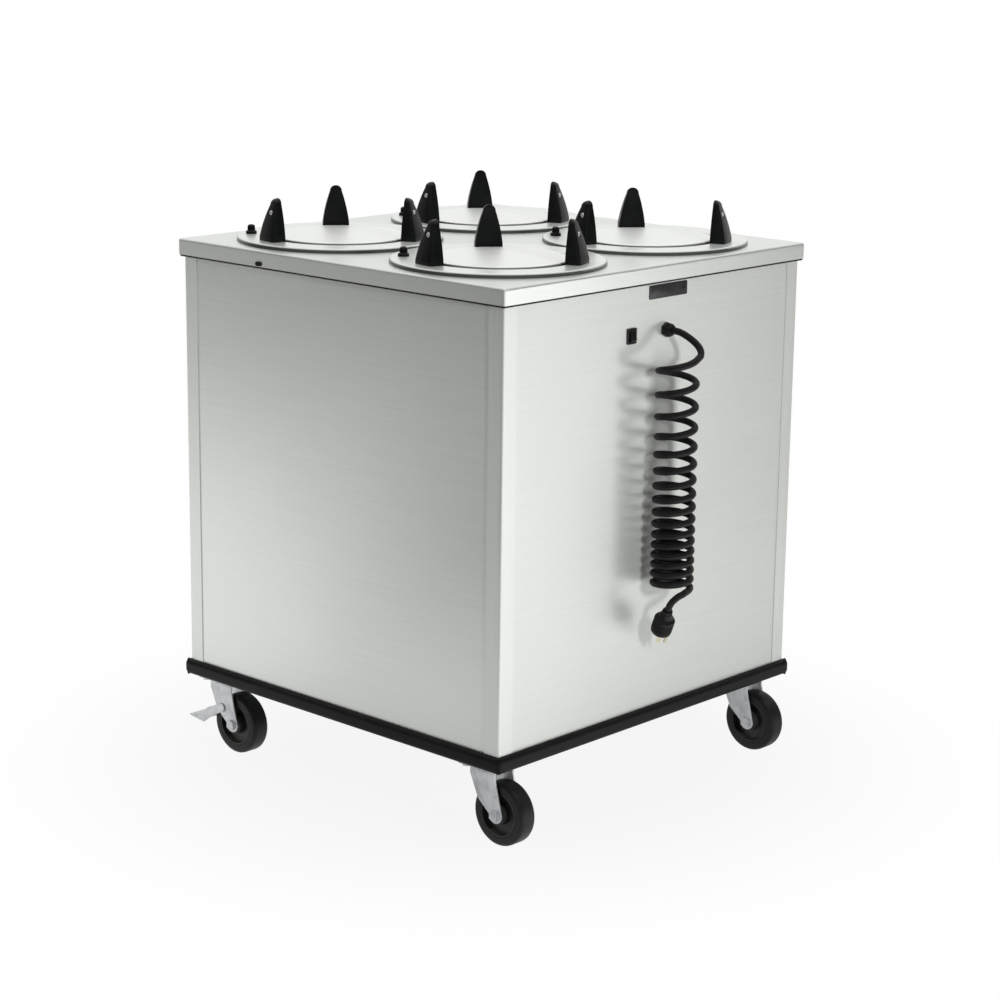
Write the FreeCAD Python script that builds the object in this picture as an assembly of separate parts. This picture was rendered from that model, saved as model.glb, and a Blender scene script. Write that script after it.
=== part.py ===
import FreeCAD, Part
import math
import os

Vector = FreeCAD.Vector
up = Vector(0, 0, 1)
across = Vector(1, 0, 0)
inwards = Vector(0, 1, 0)
origin = Vector(0, 0, 0)

# A four-stack heated plate dispenser on casters, in millimetres.
# The origin is on the floor under the middle of the cabinet, +Z is up, and the
# front, with the switch and the cord, faces -Y.

# Shared clearances
overrun = 2.0
pin_clearance = 0.05
running_gap = 0.3
stop_gap = 0.5
parallel_share = 0.999

# Deck
deck_side = 730.0
deck_height = 875.0
deck_sheet = 1.5
deck_edge_radius = 4.0
deck_hole_margin = 10.0
rim_height = 26.0
hem_clearance = 0.5

# Cabinet walls
deck_overhang = 7.0
post_leg = 30.0
post_sheet = 1.5
post_bend_radius = 4.0
panel_sheet = 1.2
panel_lap = 18.0
panel_return = 14.0
return_clearance = 2.0

# Base
caster_height = 130.0
base_height = 27.0
base_wall = 3.0
base_foot_width = 45.0
base_ledge_width = 24.0
base_gusset = 118.0
pan_sheet = 1.2
pan_lip = 12.0
pan_clearance = 0.5
bumper_depth = 9.0
bumper_height = 26.0
bumper_round = 6.0

# Dispensers, four in a square
flange_spacing = 16.0
flange_margin = 19.0
flange_width = 49.0
flange_height = 7.0
flange_sheet = 1.5
flange_bend = 4.0
throat_depth = 28.0
rail_angles = (15.0, 75.0, 135.0, 195.0, 255.0, 315.0)
rail_clearance = 0.4
rail_sheet = 2.5
rail_width = 40.0
rail_foot = 18.0
rail_tab_margin = 13.0
stop_width = 20.0
stop_depth = 8.0
stop_height = 39.3

# Plate carrier and its springs
carrier_clearance = 8.0
carrier_sheet = 2.0
carrier_rise = 2.0
carrier_rim = 4.0
carrier_bend = 3.0
stem_radius = 12.0
hub_radius = 20.0
arm_angles = (105.0, 225.0, 345.0)
arm_drop = 200.0
arm_overhang = 10.0
arm_root_width = 22.0
arm_tip_width = 14.0
arm_thickness = 6.0
spring_offset = 20.0
spring_radius = 7.0
spring_wire = 1.6
spring_hook = 16.0

# Plate guides, three round each throat
guide_angles = (50.0, 170.0, 290.0)
guide_overhang = 1.0
guide_width = 44.0
guide_depth = 25.0
guide_height = 68.0
guide_tip_width = 20.0
guide_tip_depth = 10.0
guide_foot = 6.0
guide_belly_share = 0.55
guide_belly_depth = 0.5
guide_screw_radius = 3.6
guide_screw_depth = 7.0
guide_screw_share = 0.66

# Thumb nuts that clamp the flanges
knob_angle = 130.0
knob_inset = 22.0
knob_radius = 9.0
knob_skirt = 4.0
knob_height = 15.0
knob_waist_radius = 6.0
knob_stud_radius = 3.0
knob_stud_tail = 8.0

# Oval plug in the rim
rim_plug_shift = 10.0
rim_plug_width = 14.0
rim_plug_height = 7.0
rim_plug_head = 1.6
rim_plug_stem_radius = 2.5
rim_plug_stem = 6.0
rim_plug_margin = 1.5

# Blank plate under the rim
name_plate_centre = 20.0
name_plate_width = 92.0
name_plate_height = 22.0
name_plate_thickness = 1.6
name_plate_corner = 2.0
name_plate_drop = 43.0

# Rocker switch
switch_x = -67.0
switch_drop = 106.0
bezel_width = 22.0
bezel_height = 25.0
bezel_front = 2.4
bezel_round = 2.5
switch_body_width = 18.0
switch_body_height = 21.0
switch_body_depth = 16.0
rocker_radius = 8.6
rocker_width = 12.6
rocker_gap = 0.4
rocker_face = 5.6
rocker_ridge = 1.0
rocker_tilt = 10.0
rocker_pivot_depth = 1.5
rocker_pin_radius = 1.5
rocker_pin_length = 1.0

# Cord gland
gland_x = 16.0
gland_drop = 105.0
gland_nut_radius = 12.0
gland_nut_length = 6.5
gland_cone_length = 9.5
gland_mouth_radius = 8.0
gland_thread_radius = 8.0
gland_thread_length = 9.0
gland_lock_radius = 11.0
gland_lock_length = 4.0

# Curly cord, placed from the middle of the gland on the front wall
cord_diameter = 11.0
coil_side_shift = 24.0
coil_stand_off = 46.5
coil_radius = 29.5
coil_drop = 39.0
curl_count = 16
curl_loose_pitch = 42.0
curl_tight_pitch = 15.0
curl_easing = 2.4
curl_samples = 24
curl_start_angle = -75.0
lead_out = 12.5
lead_points = ((5.0, -41.5, -7.0), (10.0, -53.5, -16.0), (11.0, -63.5, -26.0))
lead_in = 11.0
tail_out = 10.0
tail_points = ((-45.5, -78.5, -410.0), (-51.0, -73.0, -416.5),
               (-52.0, -66.5, -425.0), (-50.0, -61.5, -435.0))
arc_share = 0.45

# Plug
boot_radius = 8.0
boot_length = 12.0
boot_end_radius = 10.5
plug_neck_length = 4.0
plug_radius = 17.0
plug_length = 30.0
plug_round = 3.0
blade_width = 6.4
blade_thickness = 1.5
blade_length = 18.0
blade_spacing = 12.7
earth_radius = 2.4
earth_length = 21.0
earth_offset = 11.9

# Heaters and controls inside
heater_inset = 30.0
heater_tube_radius = 4.0
heater_rise = 10.0
heater_gap_angle = 40.0
clip_width = 14.0
clip_depth = 12.0
clip_cap = 2.0
clip_angles = (90.0, 200.0, 320.0)
clip_clearance = 0.1
box_left_margin = 28.0
box_right_margin = 34.0
box_height = 70.0
box_depth = 48.0
box_sheet = 1.2
thermostat_width = 46.0
thermostat_depth = 36.0
thermostat_height = 30.0
thermostat_corner = 3.0
bulb_radius = 3.0
bulb_length = 80.0
bulb_height = 9.0

# Swivel casters
kingpin_side_inset = 42.0
kingpin_end_inset = 52.0
caster_trail = 28.0
caster_plate_side = 78.0
caster_plate_sheet = 4.0
caster_plate_corner = 6.0
race_radius = 25.0
race_height = 3.0
kingpin_radius = 6.0
kingpin_head_radius = 10.0
kingpin_head = 5.0
bolt_spacing = 56.0
bolt_radius = 4.0
bolt_head_radius = 7.0
bolt_head = 4.5
bolt_nut = 6.0
wheel_top_gap = 15.7
wheel_width = 32.0
wheel_shoulder = 6.0
wheel_draft = 1.2
tyre_depth = 15.0
wheel_web = 14.0
hub_face_radius = 15.0
hub_length = 37.0
axle_radius = 5.0
axle_head_radius = 9.0
axle_head = 5.5
fork_sheet = 3.0
fork_crown = 5.0
fork_gap = 38.0
fork_bend_radius = 8.0
fork_top_reach = 26.0
fork_shoulder_drop = 14.0
fork_boss_radius = 13.0
fork_elbow_y = 9.0
fork_elbow_rise = 20.0
pedal_sheet = 2.5
pedal_pivot_y = -3.0
pedal_pivot_rise = 25.0
pedal_pin_radius = 3.0
pedal_eye_radius = 7.5
shoe_gap = 4.2
shoe_angle = 10.0
shoe_depth = 7.0
shoe_height = 16.0
pedal_tip_reach = 28.0
pedal_pad_length = 36.0
pedal_pad_drop = 5.0
pedal_arm_height = 12.0

# Worked out from the sizes above
deck_half = deck_side / 2
deck_under = deck_height - deck_sheet
rim_bottom = deck_height - rim_height
body_half = deck_half - deck_overhang
panel_face = body_half - post_sheet
base_half = panel_face - panel_sheet
panel_half = body_half - post_leg + panel_lap
base_top = caster_height + base_height
pan_top = base_top + pan_sheet
bumper_half = body_half + bumper_depth
flange_radius = (deck_half - flange_margin - flange_spacing / 2) / 2
flange_top = deck_height + flange_height
stack_offset = flange_radius + flange_spacing / 2
stack_centres = tuple((x * stack_offset, y * stack_offset)
                      for x, y in ((-1, -1), (1, -1), (1, 1), (-1, 1)))
throat_radius = flange_radius - flange_width
deck_hole_radius = throat_radius + deck_hole_margin
rail_face = throat_radius + flange_sheet + rail_clearance
rail_back = rail_face + rail_sheet
rail_tab_end = flange_radius - rail_tab_margin
rail_tab_under = deck_under - rail_sheet
carrier_radius = throat_radius - carrier_clearance
carrier_top = flange_top + carrier_rise
spring_circle = throat_radius + spring_offset
arm_top = carrier_top - arm_drop
arm_reach = spring_circle + arm_overhang
knob_circle = flange_radius - knob_inset
rim_plug_place = stack_offset - rim_plug_shift
switch_z = deck_height - switch_drop
gland_z = deck_height - gland_drop
gland_place = Vector(gland_x, -panel_face, gland_z)
cord_radius = cord_diameter / 2
coil_centre_x = gland_x - coil_side_shift
coil_centre_y = -panel_face - coil_stand_off
coil_top = gland_z - coil_drop
heater_radius = throat_radius - heater_inset
box_left = switch_x - box_left_margin
box_right = gland_x + box_right_margin
box_low = gland_z - box_height / 2
box_high = gland_z + box_height / 2
kingpin_x = body_half - kingpin_side_inset
kingpin_y = body_half - kingpin_end_inset
caster_places = tuple((x * kingpin_x, y * kingpin_y)
                      for x, y in ((-1, -1), (1, -1), (1, 1), (-1, 1)))
braked_casters = (2, 3)
race_bottom = caster_height - caster_plate_sheet - race_height
crown_top = race_bottom - running_gap
crown_under = crown_top - fork_crown
wheel_radius = (crown_under - wheel_top_gap) / 2
fork_half = fork_gap / 2 + fork_sheet
fork_elbow_z = wheel_radius + fork_elbow_rise
pedal_pivot_z = wheel_radius + pedal_pivot_rise
pedal_tip_y = wheel_radius + pedal_tip_reach
pedal_pad_z = wheel_radius - pedal_pad_drop


def block(low, high):
    size = Vector(*high) - Vector(*low)
    return Part.makeBox(size.x, size.y, size.z, Vector(*low))


def rod(radius, start, end):
    start = Vector(*start)
    along = Vector(*end) - start
    return Part.makeCylinder(radius, along.Length, start, along)


def outline(edges):
    return Part.Face(Part.Wire([edge.toShape() for edge in edges]))


def line(start, end):
    return Part.LineSegment(Vector(*start), Vector(*end))


def arc(start, middle, end):
    return Part.Arc(Vector(*start), Vector(*middle), Vector(*end))


def corner_arc(start, centre, end):
    # The short arc round a centre from one end to the other.
    start, centre, end = Vector(*start), Vector(*centre), Vector(*end)
    middle = (start - centre) + (end - centre)
    middle.normalize()
    return Part.Arc(start, centre + middle * (start - centre).Length, end)


def prism(points, travel):
    corners = [Vector(*point) for point in points]
    return Part.Face(Part.makePolygon(corners + corners[:1])).extrude(Vector(*travel))


def turned(shape, angle, centre=origin, axis=up):
    copy = shape.copy()
    copy.rotate(centre, axis, angle)
    return copy


def moved(shape, x, y, z=0):
    copy = shape.copy()
    copy.translate(Vector(x, y, z))
    return copy


def four_corners(shape):
    return [turned(shape, quarter * 90) for quarter in range(4)]


def edges_along(shape, axis):
    return [edge for edge in shape.Edges
            if abs(edge.tangentAt(edge.FirstParameter).dot(axis)) > parallel_share]


def square_ring(outer_half, inner_half, low, high):
    ring = block((-outer_half, -outer_half, low), (outer_half, outer_half, high))
    hole = block((-inner_half, -inner_half, low - overrun), (inner_half, inner_half, high + overrun))
    return ring.cut(hole)


def save(name, shapes):
    shape = shapes if isinstance(shapes, Part.Shape) else Part.makeCompound(shapes)
    shape.exportStep("parts/" + name + ".step")


# Deck and walls

def rounded_slab(half, low, high, radius):
    slab = block((-half, -half, low), (half, half, high))
    edges = [edge for edge in slab.Edges if edge.CenterOfMass.z > low]
    return slab.makeFillet(radius, edges)


def knob_place(centre):
    angle = math.radians(knob_angle)
    return centre[0] + knob_circle * math.cos(angle), centre[1] + knob_circle * math.sin(angle)


def knob_hole(centre, low, high):
    x, y = knob_place(centre)
    return rod(knob_stud_radius + pin_clearance, (x, y, low - overrun), (x, y, high + overrun))


def make_top_deck():
    deck = rounded_slab(deck_half, rim_bottom, deck_height, deck_edge_radius)
    hollow_half = deck_half - deck_sheet
    hollow = rounded_slab(hollow_half, rim_bottom + deck_sheet, deck_under, deck_edge_radius - deck_sheet)
    mouth_half = body_half + hem_clearance
    mouth = block((-mouth_half, -mouth_half, rim_bottom - overrun),
                  (mouth_half, mouth_half, rim_bottom + deck_sheet + overrun))
    deck = deck.cut([hollow, mouth])
    for x, y in stack_centres:
        deck = deck.cut(rod(deck_hole_radius, (x, y, deck_under - overrun), (x, y, deck_height + overrun)))
        deck = deck.cut(knob_hole((x, y), deck_under, deck_height))
    plug_z = rim_bottom + rim_plug_margin + rim_plug_height / 2
    plug_hole = rod(rim_plug_stem_radius + pin_clearance, (-deck_half - overrun, rim_plug_place, plug_z),
                    (-deck_half + deck_sheet + overrun, rim_plug_place, plug_z))
    return deck.cut(plug_hole)


def make_rim_plug():
    z = rim_bottom + rim_plug_margin + rim_plug_height / 2
    round_radius = rim_plug_height / 2
    flat = rim_plug_width / 2 - round_radius
    x = -deck_half
    head = outline([
        line((x, rim_plug_place - flat, z - round_radius), (x, rim_plug_place + flat, z - round_radius)),
        arc((x, rim_plug_place + flat, z - round_radius), (x, rim_plug_place + flat + round_radius, z),
            (x, rim_plug_place + flat, z + round_radius)),
        line((x, rim_plug_place + flat, z + round_radius), (x, rim_plug_place - flat, z + round_radius)),
        arc((x, rim_plug_place - flat, z + round_radius), (x, rim_plug_place - flat - round_radius, z),
            (x, rim_plug_place - flat, z - round_radius)),
    ]).extrude(Vector(-rim_plug_head, 0, 0))
    stem = rod(rim_plug_stem_radius, (x - rim_plug_head, rim_plug_place, z),
               (x + rim_plug_stem, rim_plug_place, z))
    return head.fuse(stem)


def make_corner_posts():
    outer, inner = body_half, body_half - post_sheet
    bend, start = body_half - post_bend_radius, body_half - post_leg
    z = caster_height
    section = outline([
        line((start, outer, z), (bend, outer, z)),
        corner_arc((bend, outer, z), (bend, bend, z), (outer, bend, z)),
        line((outer, bend, z), (outer, start, z)),
        line((outer, start, z), (inner, start, z)),
        line((inner, start, z), (inner, bend, z)),
        corner_arc((inner, bend, z), (bend, bend, z), (bend, inner, z)),
        line((bend, inner, z), (start, inner, z)),
        line((start, inner, z), (start, outer, z)),
    ])
    return four_corners(section.extrude(Vector(0, 0, deck_under - z)))


def make_plain_panel():
    # A sheet with its top edge turned inwards under the deck, built at the front.
    sheet = block((-panel_half, -panel_face, caster_height), (panel_half, -base_half, deck_under))
    return_half = panel_half - panel_return - return_clearance
    top_return = block((-return_half, -panel_face, deck_under - panel_sheet),
                       (return_half, -base_half + panel_return, deck_under))
    return sheet.fuse(top_return).removeSplitter()


def make_front_panel(panel):
    half_width, half_height = switch_body_width / 2 + pin_clearance, switch_body_height / 2 + pin_clearance
    switch_hole = block((switch_x - half_width, -panel_face - overrun, switch_z - half_height),
                        (switch_x + half_width, -base_half + overrun, switch_z + half_height))
    gland_hole = rod(gland_thread_radius + pin_clearance, (gland_x, -panel_face - overrun, gland_z),
                     (gland_x, -base_half + overrun, gland_z))
    return panel.cut([switch_hole, gland_hole])


def make_name_plate():
    low_x, high_x = name_plate_centre - name_plate_width / 2, name_plate_centre + name_plate_width / 2
    middle_z = deck_height - name_plate_drop
    plate = block((low_x, -panel_face - name_plate_thickness, middle_z - name_plate_height / 2),
                  (high_x, -panel_face, middle_z + name_plate_height / 2))
    return plate.makeFillet(name_plate_corner, edges_along(plate, inwards))


# Base

def make_base_frame():
    wall = square_ring(base_half, base_half - base_wall, caster_height, base_top)
    foot = square_ring(base_half, base_half - base_foot_width, caster_height, caster_height + base_wall)
    ledge = square_ring(base_half, base_half - base_ledge_width, base_top - base_wall, base_top)
    inner = base_half - base_gusset
    gusset = prism(((base_half, base_half, caster_height), (inner, base_half, caster_height),
                    (inner, base_half - base_foot_width, caster_height),
                    (inner + base_foot_width / 2, inner + base_foot_width / 2, caster_height),
                    (base_half - base_foot_width, inner, caster_height), (base_half, inner, caster_height)),
                   (0, 0, base_wall))
    frame = wall.fuse([foot, ledge] + four_corners(gusset)).removeSplitter()
    for x, y in bolt_places():
        frame = frame.cut(rod(bolt_radius + pin_clearance, (x, y, caster_height - overrun),
                              (x, y, caster_height + base_wall + overrun)))
    return frame


def make_floor_pan():
    half = base_half - pan_clearance
    pan = block((-half, -half, base_top), (half, half, base_top + pan_lip))
    well_half = half - pan_sheet
    well = block((-well_half, -well_half, pan_top), (well_half, well_half, base_top + pan_lip + overrun))
    return pan.cut(well)


def make_perimeter_bumper():
    # One rounded strip with mitred ends, repeated on the four sides.
    back, front = -body_half, -bumper_half
    bend = front + bumper_round
    low, high = caster_height, caster_height + bumper_height
    x = -bumper_half
    section = outline([
        line((x, back, low), (x, bend, low)),
        corner_arc((x, bend, low), (x, bend, low + bumper_round), (x, front, low + bumper_round)),
        line((x, front, low + bumper_round), (x, front, high - bumper_round)),
        corner_arc((x, front, high - bumper_round), (x, bend, high - bumper_round), (x, bend, high)),
        line((x, bend, high), (x, back, high)),
        line((x, back, high), (x, back, low)),
    ])
    strip = section.extrude(Vector(bumper_half - x, 0, 0))
    mitre = prism(((-bumper_half, front, low), (bumper_half, front, low),
                   (body_half, back, low), (-body_half, back, low)), (0, 0, high - low))
    return four_corners(strip.common(mitre))


# Dispensers

def revolved_section(edges, x, y):
    return outline(edges).revolve(origin, up, 360).translated(Vector(x, y, 0))


def make_flange(x, y):
    outer, inner = flange_radius, throat_radius
    top, bend, skin = flange_top, flange_bend, flange_sheet
    low = deck_height - throat_depth
    flange = revolved_section([
        line((outer, 0, deck_height), (outer, 0, top - bend)),
        corner_arc((outer, 0, top - bend), (outer - bend, 0, top - bend), (outer - bend, 0, top)),
        line((outer - bend, 0, top), (inner + bend, 0, top)),
        corner_arc((inner + bend, 0, top), (inner + bend, 0, top - bend), (inner, 0, top - bend)),
        line((inner, 0, top - bend), (inner, 0, low)),
        line((inner, 0, low), (inner + skin, 0, low)),
        line((inner + skin, 0, low), (inner + skin, 0, top - bend)),
        corner_arc((inner + skin, 0, top - bend), (inner + bend, 0, top - bend),
                   (inner + bend, 0, top - skin)),
        line((inner + bend, 0, top - skin), (outer - bend, 0, top - skin)),
        corner_arc((outer - bend, 0, top - skin), (outer - bend, 0, top - bend),
                   (outer - skin, 0, top - bend)),
        line((outer - skin, 0, top - bend), (outer - skin, 0, deck_height)),
        line((outer - skin, 0, deck_height), (outer, 0, deck_height)),
    ], x, y)
    return flange.cut(knob_hole((x, y), deck_height, flange_top))


def make_rails(x, y):
    # Six upright rails round a stack, open between them so that warm air reaches the plates.
    # Each stands on the floor pan and has a tab under the deck. The carrier's arms go out
    # between rails and come down on three stops.
    half = rail_width / 2
    bar = block((rail_face, -half, pan_top), (rail_back, half, deck_under))
    foot = block((rail_face, -half, pan_top), (rail_face + rail_foot, half, pan_top + rail_sheet))
    tab = block((rail_face, -half, rail_tab_under), (rail_tab_end, half, deck_under))
    rail = bar.fuse([foot, tab]).removeSplitter()
    stop = block((rail_back, -stop_width / 2, pan_top),
                 (rail_back + stop_depth, stop_width / 2, pan_top + stop_height))
    rails = [moved(turned(rail, angle), x, y) for angle in rail_angles]
    stops = [moved(turned(stop, angle), x, y) for angle in arm_angles]
    stud_hole = knob_hole((x, y), rail_tab_under, deck_under)
    return [piece.cut(stud_hole) for piece in rails] + stops


def make_carrier(x, y):
    rim, bend, skin = carrier_radius, carrier_bend, carrier_sheet
    top, low = carrier_top, carrier_top - carrier_rim
    disc = revolved_section([
        line((0, 0, top), (rim - bend, 0, top)),
        corner_arc((rim - bend, 0, top), (rim - bend, 0, top - bend), (rim, 0, top - bend)),
        line((rim, 0, top - bend), (rim, 0, low)),
        line((rim, 0, low), (rim - skin, 0, low)),
        line((rim - skin, 0, low), (rim - skin, 0, top - bend)),
        corner_arc((rim - skin, 0, top - bend), (rim - bend, 0, top - bend), (rim - bend, 0, top - skin)),
        line((rim - bend, 0, top - skin), (0, 0, top - skin)),
        line((0, 0, top - skin), (0, 0, top)),
    ], x, y)
    arm_low = arm_top - arm_thickness
    stem = rod(stem_radius, (x, y, arm_low), (x, y, top - skin))
    hub = rod(hub_radius, (x, y, arm_low), (x, y, arm_top))
    arm = prism(((x, y - arm_root_width / 2, arm_low), (x + arm_reach, y - arm_tip_width / 2, arm_low),
                 (x + arm_reach, y + arm_tip_width / 2, arm_low), (x, y + arm_root_width / 2, arm_low)),
                (0, 0, arm_thickness))
    arms = [turned(arm, angle, Vector(x, y, 0)) for angle in arm_angles]
    return disc.fuse([stem, hub] + arms).removeSplitter()


def make_carrier_springs(x, y):
    low, high = arm_top, deck_under
    section = [
        line((0, 0, low), (spring_wire, 0, low)),
        line((spring_wire, 0, low), (spring_wire, 0, low + spring_hook)),
        line((spring_wire, 0, low + spring_hook), (spring_radius, 0, low + spring_hook)),
        line((spring_radius, 0, low + spring_hook), (spring_radius, 0, high - spring_hook)),
        line((spring_radius, 0, high - spring_hook), (spring_wire, 0, high - spring_hook)),
        line((spring_wire, 0, high - spring_hook), (spring_wire, 0, high)),
        line((spring_wire, 0, high), (0, 0, high)),
        line((0, 0, high), (0, 0, low)),
    ]
    spring = revolved_section(section, x + spring_circle, y)
    return [turned(spring, angle, Vector(x, y, 0)) for angle in arm_angles]


def make_guide():
    # Built on the +X side of a throat: upright inside, sloping outside, and an arch from the front.
    inner = throat_radius - guide_overhang
    outer, tip = inner + guide_depth, inner + guide_tip_depth
    low, high = flange_top, flange_top + guide_height
    half, tip_half = guide_width / 2, guide_tip_width / 2
    crown = high - guide_tip_depth
    belly_z = low + guide_height * guide_belly_share
    slope_x = outer + (tip - outer) * guide_belly_share + guide_belly_depth
    slope_y = half + (tip_half - half) * guide_belly_share + guide_belly_depth
    side = outline([
        line((inner, -half, low), (outer, -half, low)),
        line((outer, -half, low), (outer, -half, low + guide_foot)),
        arc((outer, -half, low + guide_foot), (slope_x, -half, belly_z), (tip, -half, crown)),
        corner_arc((tip, -half, crown), (inner, -half, crown), (inner, -half, high)),
        line((inner, -half, high), (inner, -half, low)),
    ]).extrude(Vector(0, guide_width, 0))
    front = outline([
        line((inner, -half, low), (inner, half, low)),
        line((inner, half, low), (inner, half, low + guide_foot)),
        arc((inner, half, low + guide_foot), (inner, slope_y, belly_z), (inner, tip_half, crown)),
        arc((inner, tip_half, crown), (inner, 0, high), (inner, -tip_half, crown)),
        arc((inner, -tip_half, crown), (inner, -slope_y, belly_z), (inner, -half, low + guide_foot)),
        line((inner, -half, low + guide_foot), (inner, -half, low)),
    ]).extrude(Vector(guide_depth, 0, 0))
    guide = side.common(front)
    screw_z = low + guide_height * guide_screw_share
    screw_x = inner + guide_tip_depth + guide_depth * (1 - guide_screw_share)
    recess = rod(guide_screw_radius, (screw_x - guide_screw_depth, 0, screw_z),
                 (outer + overrun, 0, screw_z))
    return guide.cut(recess)


def make_flange_knob(centre):
    x, y = knob_place(centre)
    low, high = flange_top, flange_top + knob_height
    collar = low + knob_skirt
    waist = knob_waist_radius
    cap = high - knob_skirt
    knob = revolved_section([
        line((0, 0, low), (knob_radius, 0, low)),
        line((knob_radius, 0, low), (knob_radius, 0, collar)),
        line((knob_radius, 0, collar), (waist, 0, collar + knob_skirt / 2)),
        line((waist, 0, collar + knob_skirt / 2), (waist, 0, cap)),
        corner_arc((waist, 0, cap), (waist - knob_skirt, 0, cap), (waist - knob_skirt, 0, high)),
        line((waist - knob_skirt, 0, high), (0, 0, high)),
        line((0, 0, high), (0, 0, low)),
    ], x, y)
    return knob.fuse(rod(knob_stud_radius, (x, y, rail_tab_under - knob_stud_tail), (x, y, low)))


# Heaters and controls

def make_heater_element(x, y):
    z = pan_top + heater_rise
    loop = Part.makeTorus(heater_radius, heater_tube_radius, origin, up, 0, 360, 360 - heater_gap_angle)
    return moved(turned(loop, heater_gap_angle / 2), x, y, z)


def make_heater_clips(x, y):
    z = pan_top + heater_rise
    half = clip_width / 2
    clip = block((heater_radius - clip_depth / 2, -half, pan_top),
                 (heater_radius + clip_depth / 2, half, z + heater_tube_radius + clip_cap))
    groove = Part.makeTorus(heater_radius, heater_tube_radius + clip_clearance, Vector(0, 0, z))
    clip = clip.cut(groove)
    return [moved(turned(piece, angle), x, y) for angle in clip_angles for piece in clip.Solids]


def make_junction_box():
    back = -base_half + box_depth
    box = block((box_left, -base_half, box_low), (box_right, back, box_high))
    hollow = block((box_left + box_sheet, -base_half - overrun, box_low + box_sheet),
                   (box_right - box_sheet, back - box_sheet, box_high - box_sheet))
    return box.cut(hollow)


def make_thermostat():
    half_width, half_depth = thermostat_width / 2, thermostat_depth / 2
    body = block((-half_width, -half_depth, pan_top), (half_width, half_depth, pan_top + thermostat_height))
    body = body.makeFillet(thermostat_corner, edges_along(body, up))
    z = pan_top + bulb_height
    return body.fuse(rod(bulb_radius, (0, 0, z), (0, half_depth + bulb_length, z)))


# Rocker switch

def rocker_pivot():
    return Vector(switch_x, -panel_face - bezel_front + rocker_pivot_depth, switch_z)


def make_switch_bezel():
    face, front = -panel_face, -panel_face - bezel_front
    flange = block((switch_x - bezel_width / 2, front, switch_z - bezel_height / 2),
                   (switch_x + bezel_width / 2, face, switch_z + bezel_height / 2))
    flange = flange.makeFillet(bezel_round, edges_along(flange, inwards))
    body = block((switch_x - switch_body_width / 2, face, switch_z - switch_body_height / 2),
                 (switch_x + switch_body_width / 2, face + switch_body_depth,
                  switch_z + switch_body_height / 2))
    pivot = rocker_pivot()
    half = rocker_width / 2 + rocker_gap
    well = rod(rocker_radius + rocker_gap, (switch_x - half, pivot.y, pivot.z),
               (switch_x + half, pivot.y, pivot.z))
    pin_half = half + rocker_pin_length
    pin_hole = rod(rocker_pin_radius + pin_clearance, (switch_x - pin_half, pivot.y, pivot.z),
                   (switch_x + pin_half, pivot.y, pivot.z))
    return flange.fuse(body).cut([well, pin_hole]).removeSplitter()


def make_switch_rocker():
    # Round about its pivot, with a shallow V for a face, resting with its lower end in.
    pivot = rocker_pivot()
    half = rocker_width / 2
    barrel = rod(rocker_radius, (switch_x - half, pivot.y, pivot.z), (switch_x + half, pivot.y, pivot.z))
    reach = rocker_radius + overrun
    face, ridge = pivot.y - rocker_face, pivot.y - rocker_face + rocker_ridge
    x = switch_x - half - overrun
    waste = prism(((x, face, pivot.z - reach), (x, ridge, pivot.z), (x, face, pivot.z + reach),
                   (x, face - reach, pivot.z + reach), (x, face - reach, pivot.z - reach)),
                  (rocker_width + 2 * overrun, 0, 0))
    pin_half = half + rocker_gap + rocker_pin_length - pin_clearance
    pin = rod(rocker_pin_radius, (switch_x - pin_half, pivot.y, pivot.z),
              (switch_x + pin_half, pivot.y, pivot.z))
    return turned(barrel.cut(waste).fuse(pin), -rocker_tilt, pivot, across)


# Cord, gland and plug

def make_cord_gland():
    face = panel_face
    front = face + gland_nut_length
    mouth = front + gland_cone_length
    lock = base_half - gland_lock_length
    inside = base_half - gland_thread_length
    section = [
        line((0, 0, mouth), (gland_mouth_radius, 0, mouth)),
        line((gland_mouth_radius, 0, mouth), (gland_nut_radius, 0, front)),
        line((gland_nut_radius, 0, front), (gland_nut_radius, 0, face)),
        line((gland_nut_radius, 0, face), (gland_thread_radius, 0, face)),
        line((gland_thread_radius, 0, face), (gland_thread_radius, 0, base_half)),
        line((gland_thread_radius, 0, base_half), (gland_lock_radius, 0, base_half)),
        line((gland_lock_radius, 0, base_half), (gland_lock_radius, 0, lock)),
        line((gland_lock_radius, 0, lock), (gland_thread_radius, 0, lock)),
        line((gland_thread_radius, 0, lock), (gland_thread_radius, 0, inside)),
        line((gland_thread_radius, 0, inside), (0, 0, inside)),
        line((0, 0, inside), (0, 0, mouth)),
    ]
    gland = outline(section).revolve(origin, up, 360)
    return moved(turned(gland, 90, origin, across), gland_x, 0, gland_z)


def arc_from(start, heading, end):
    # The arc that leaves start along heading and reaches end.
    chord = end - start
    along = chord * (1 / chord.Length)
    half_turn = heading.getAngle(chord)
    side = heading - along * heading.dot(along)
    side.normalize()
    middle = start + chord * 0.5 + side * (chord.Length / 2 * math.tan(half_turn / 2))
    return Part.Arc(start, middle, end).toShape()


def biarc(start, heading, end, leaving):
    # Two arcs, tangent to each other and to the headings at both ends.
    chord = end - start
    total = heading + leaving
    spread = 2 * (1 - heading.dot(leaving))
    pull = chord.dot(total)
    reach = (math.sqrt(pull * pull + spread * chord.dot(chord)) - pull) / spread
    joint = (start + heading * reach + end - leaving * reach) * 0.5
    joint_heading = joint - start - heading * reach
    joint_heading.normalize()
    return [arc_from(start, heading, joint), arc_from(joint, joint_heading, end)]


def curl_angle(turn):
    # The curls run clockwise, seen from above, on their way down.
    return math.radians(curl_start_angle) - 2 * math.pi * turn


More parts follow.
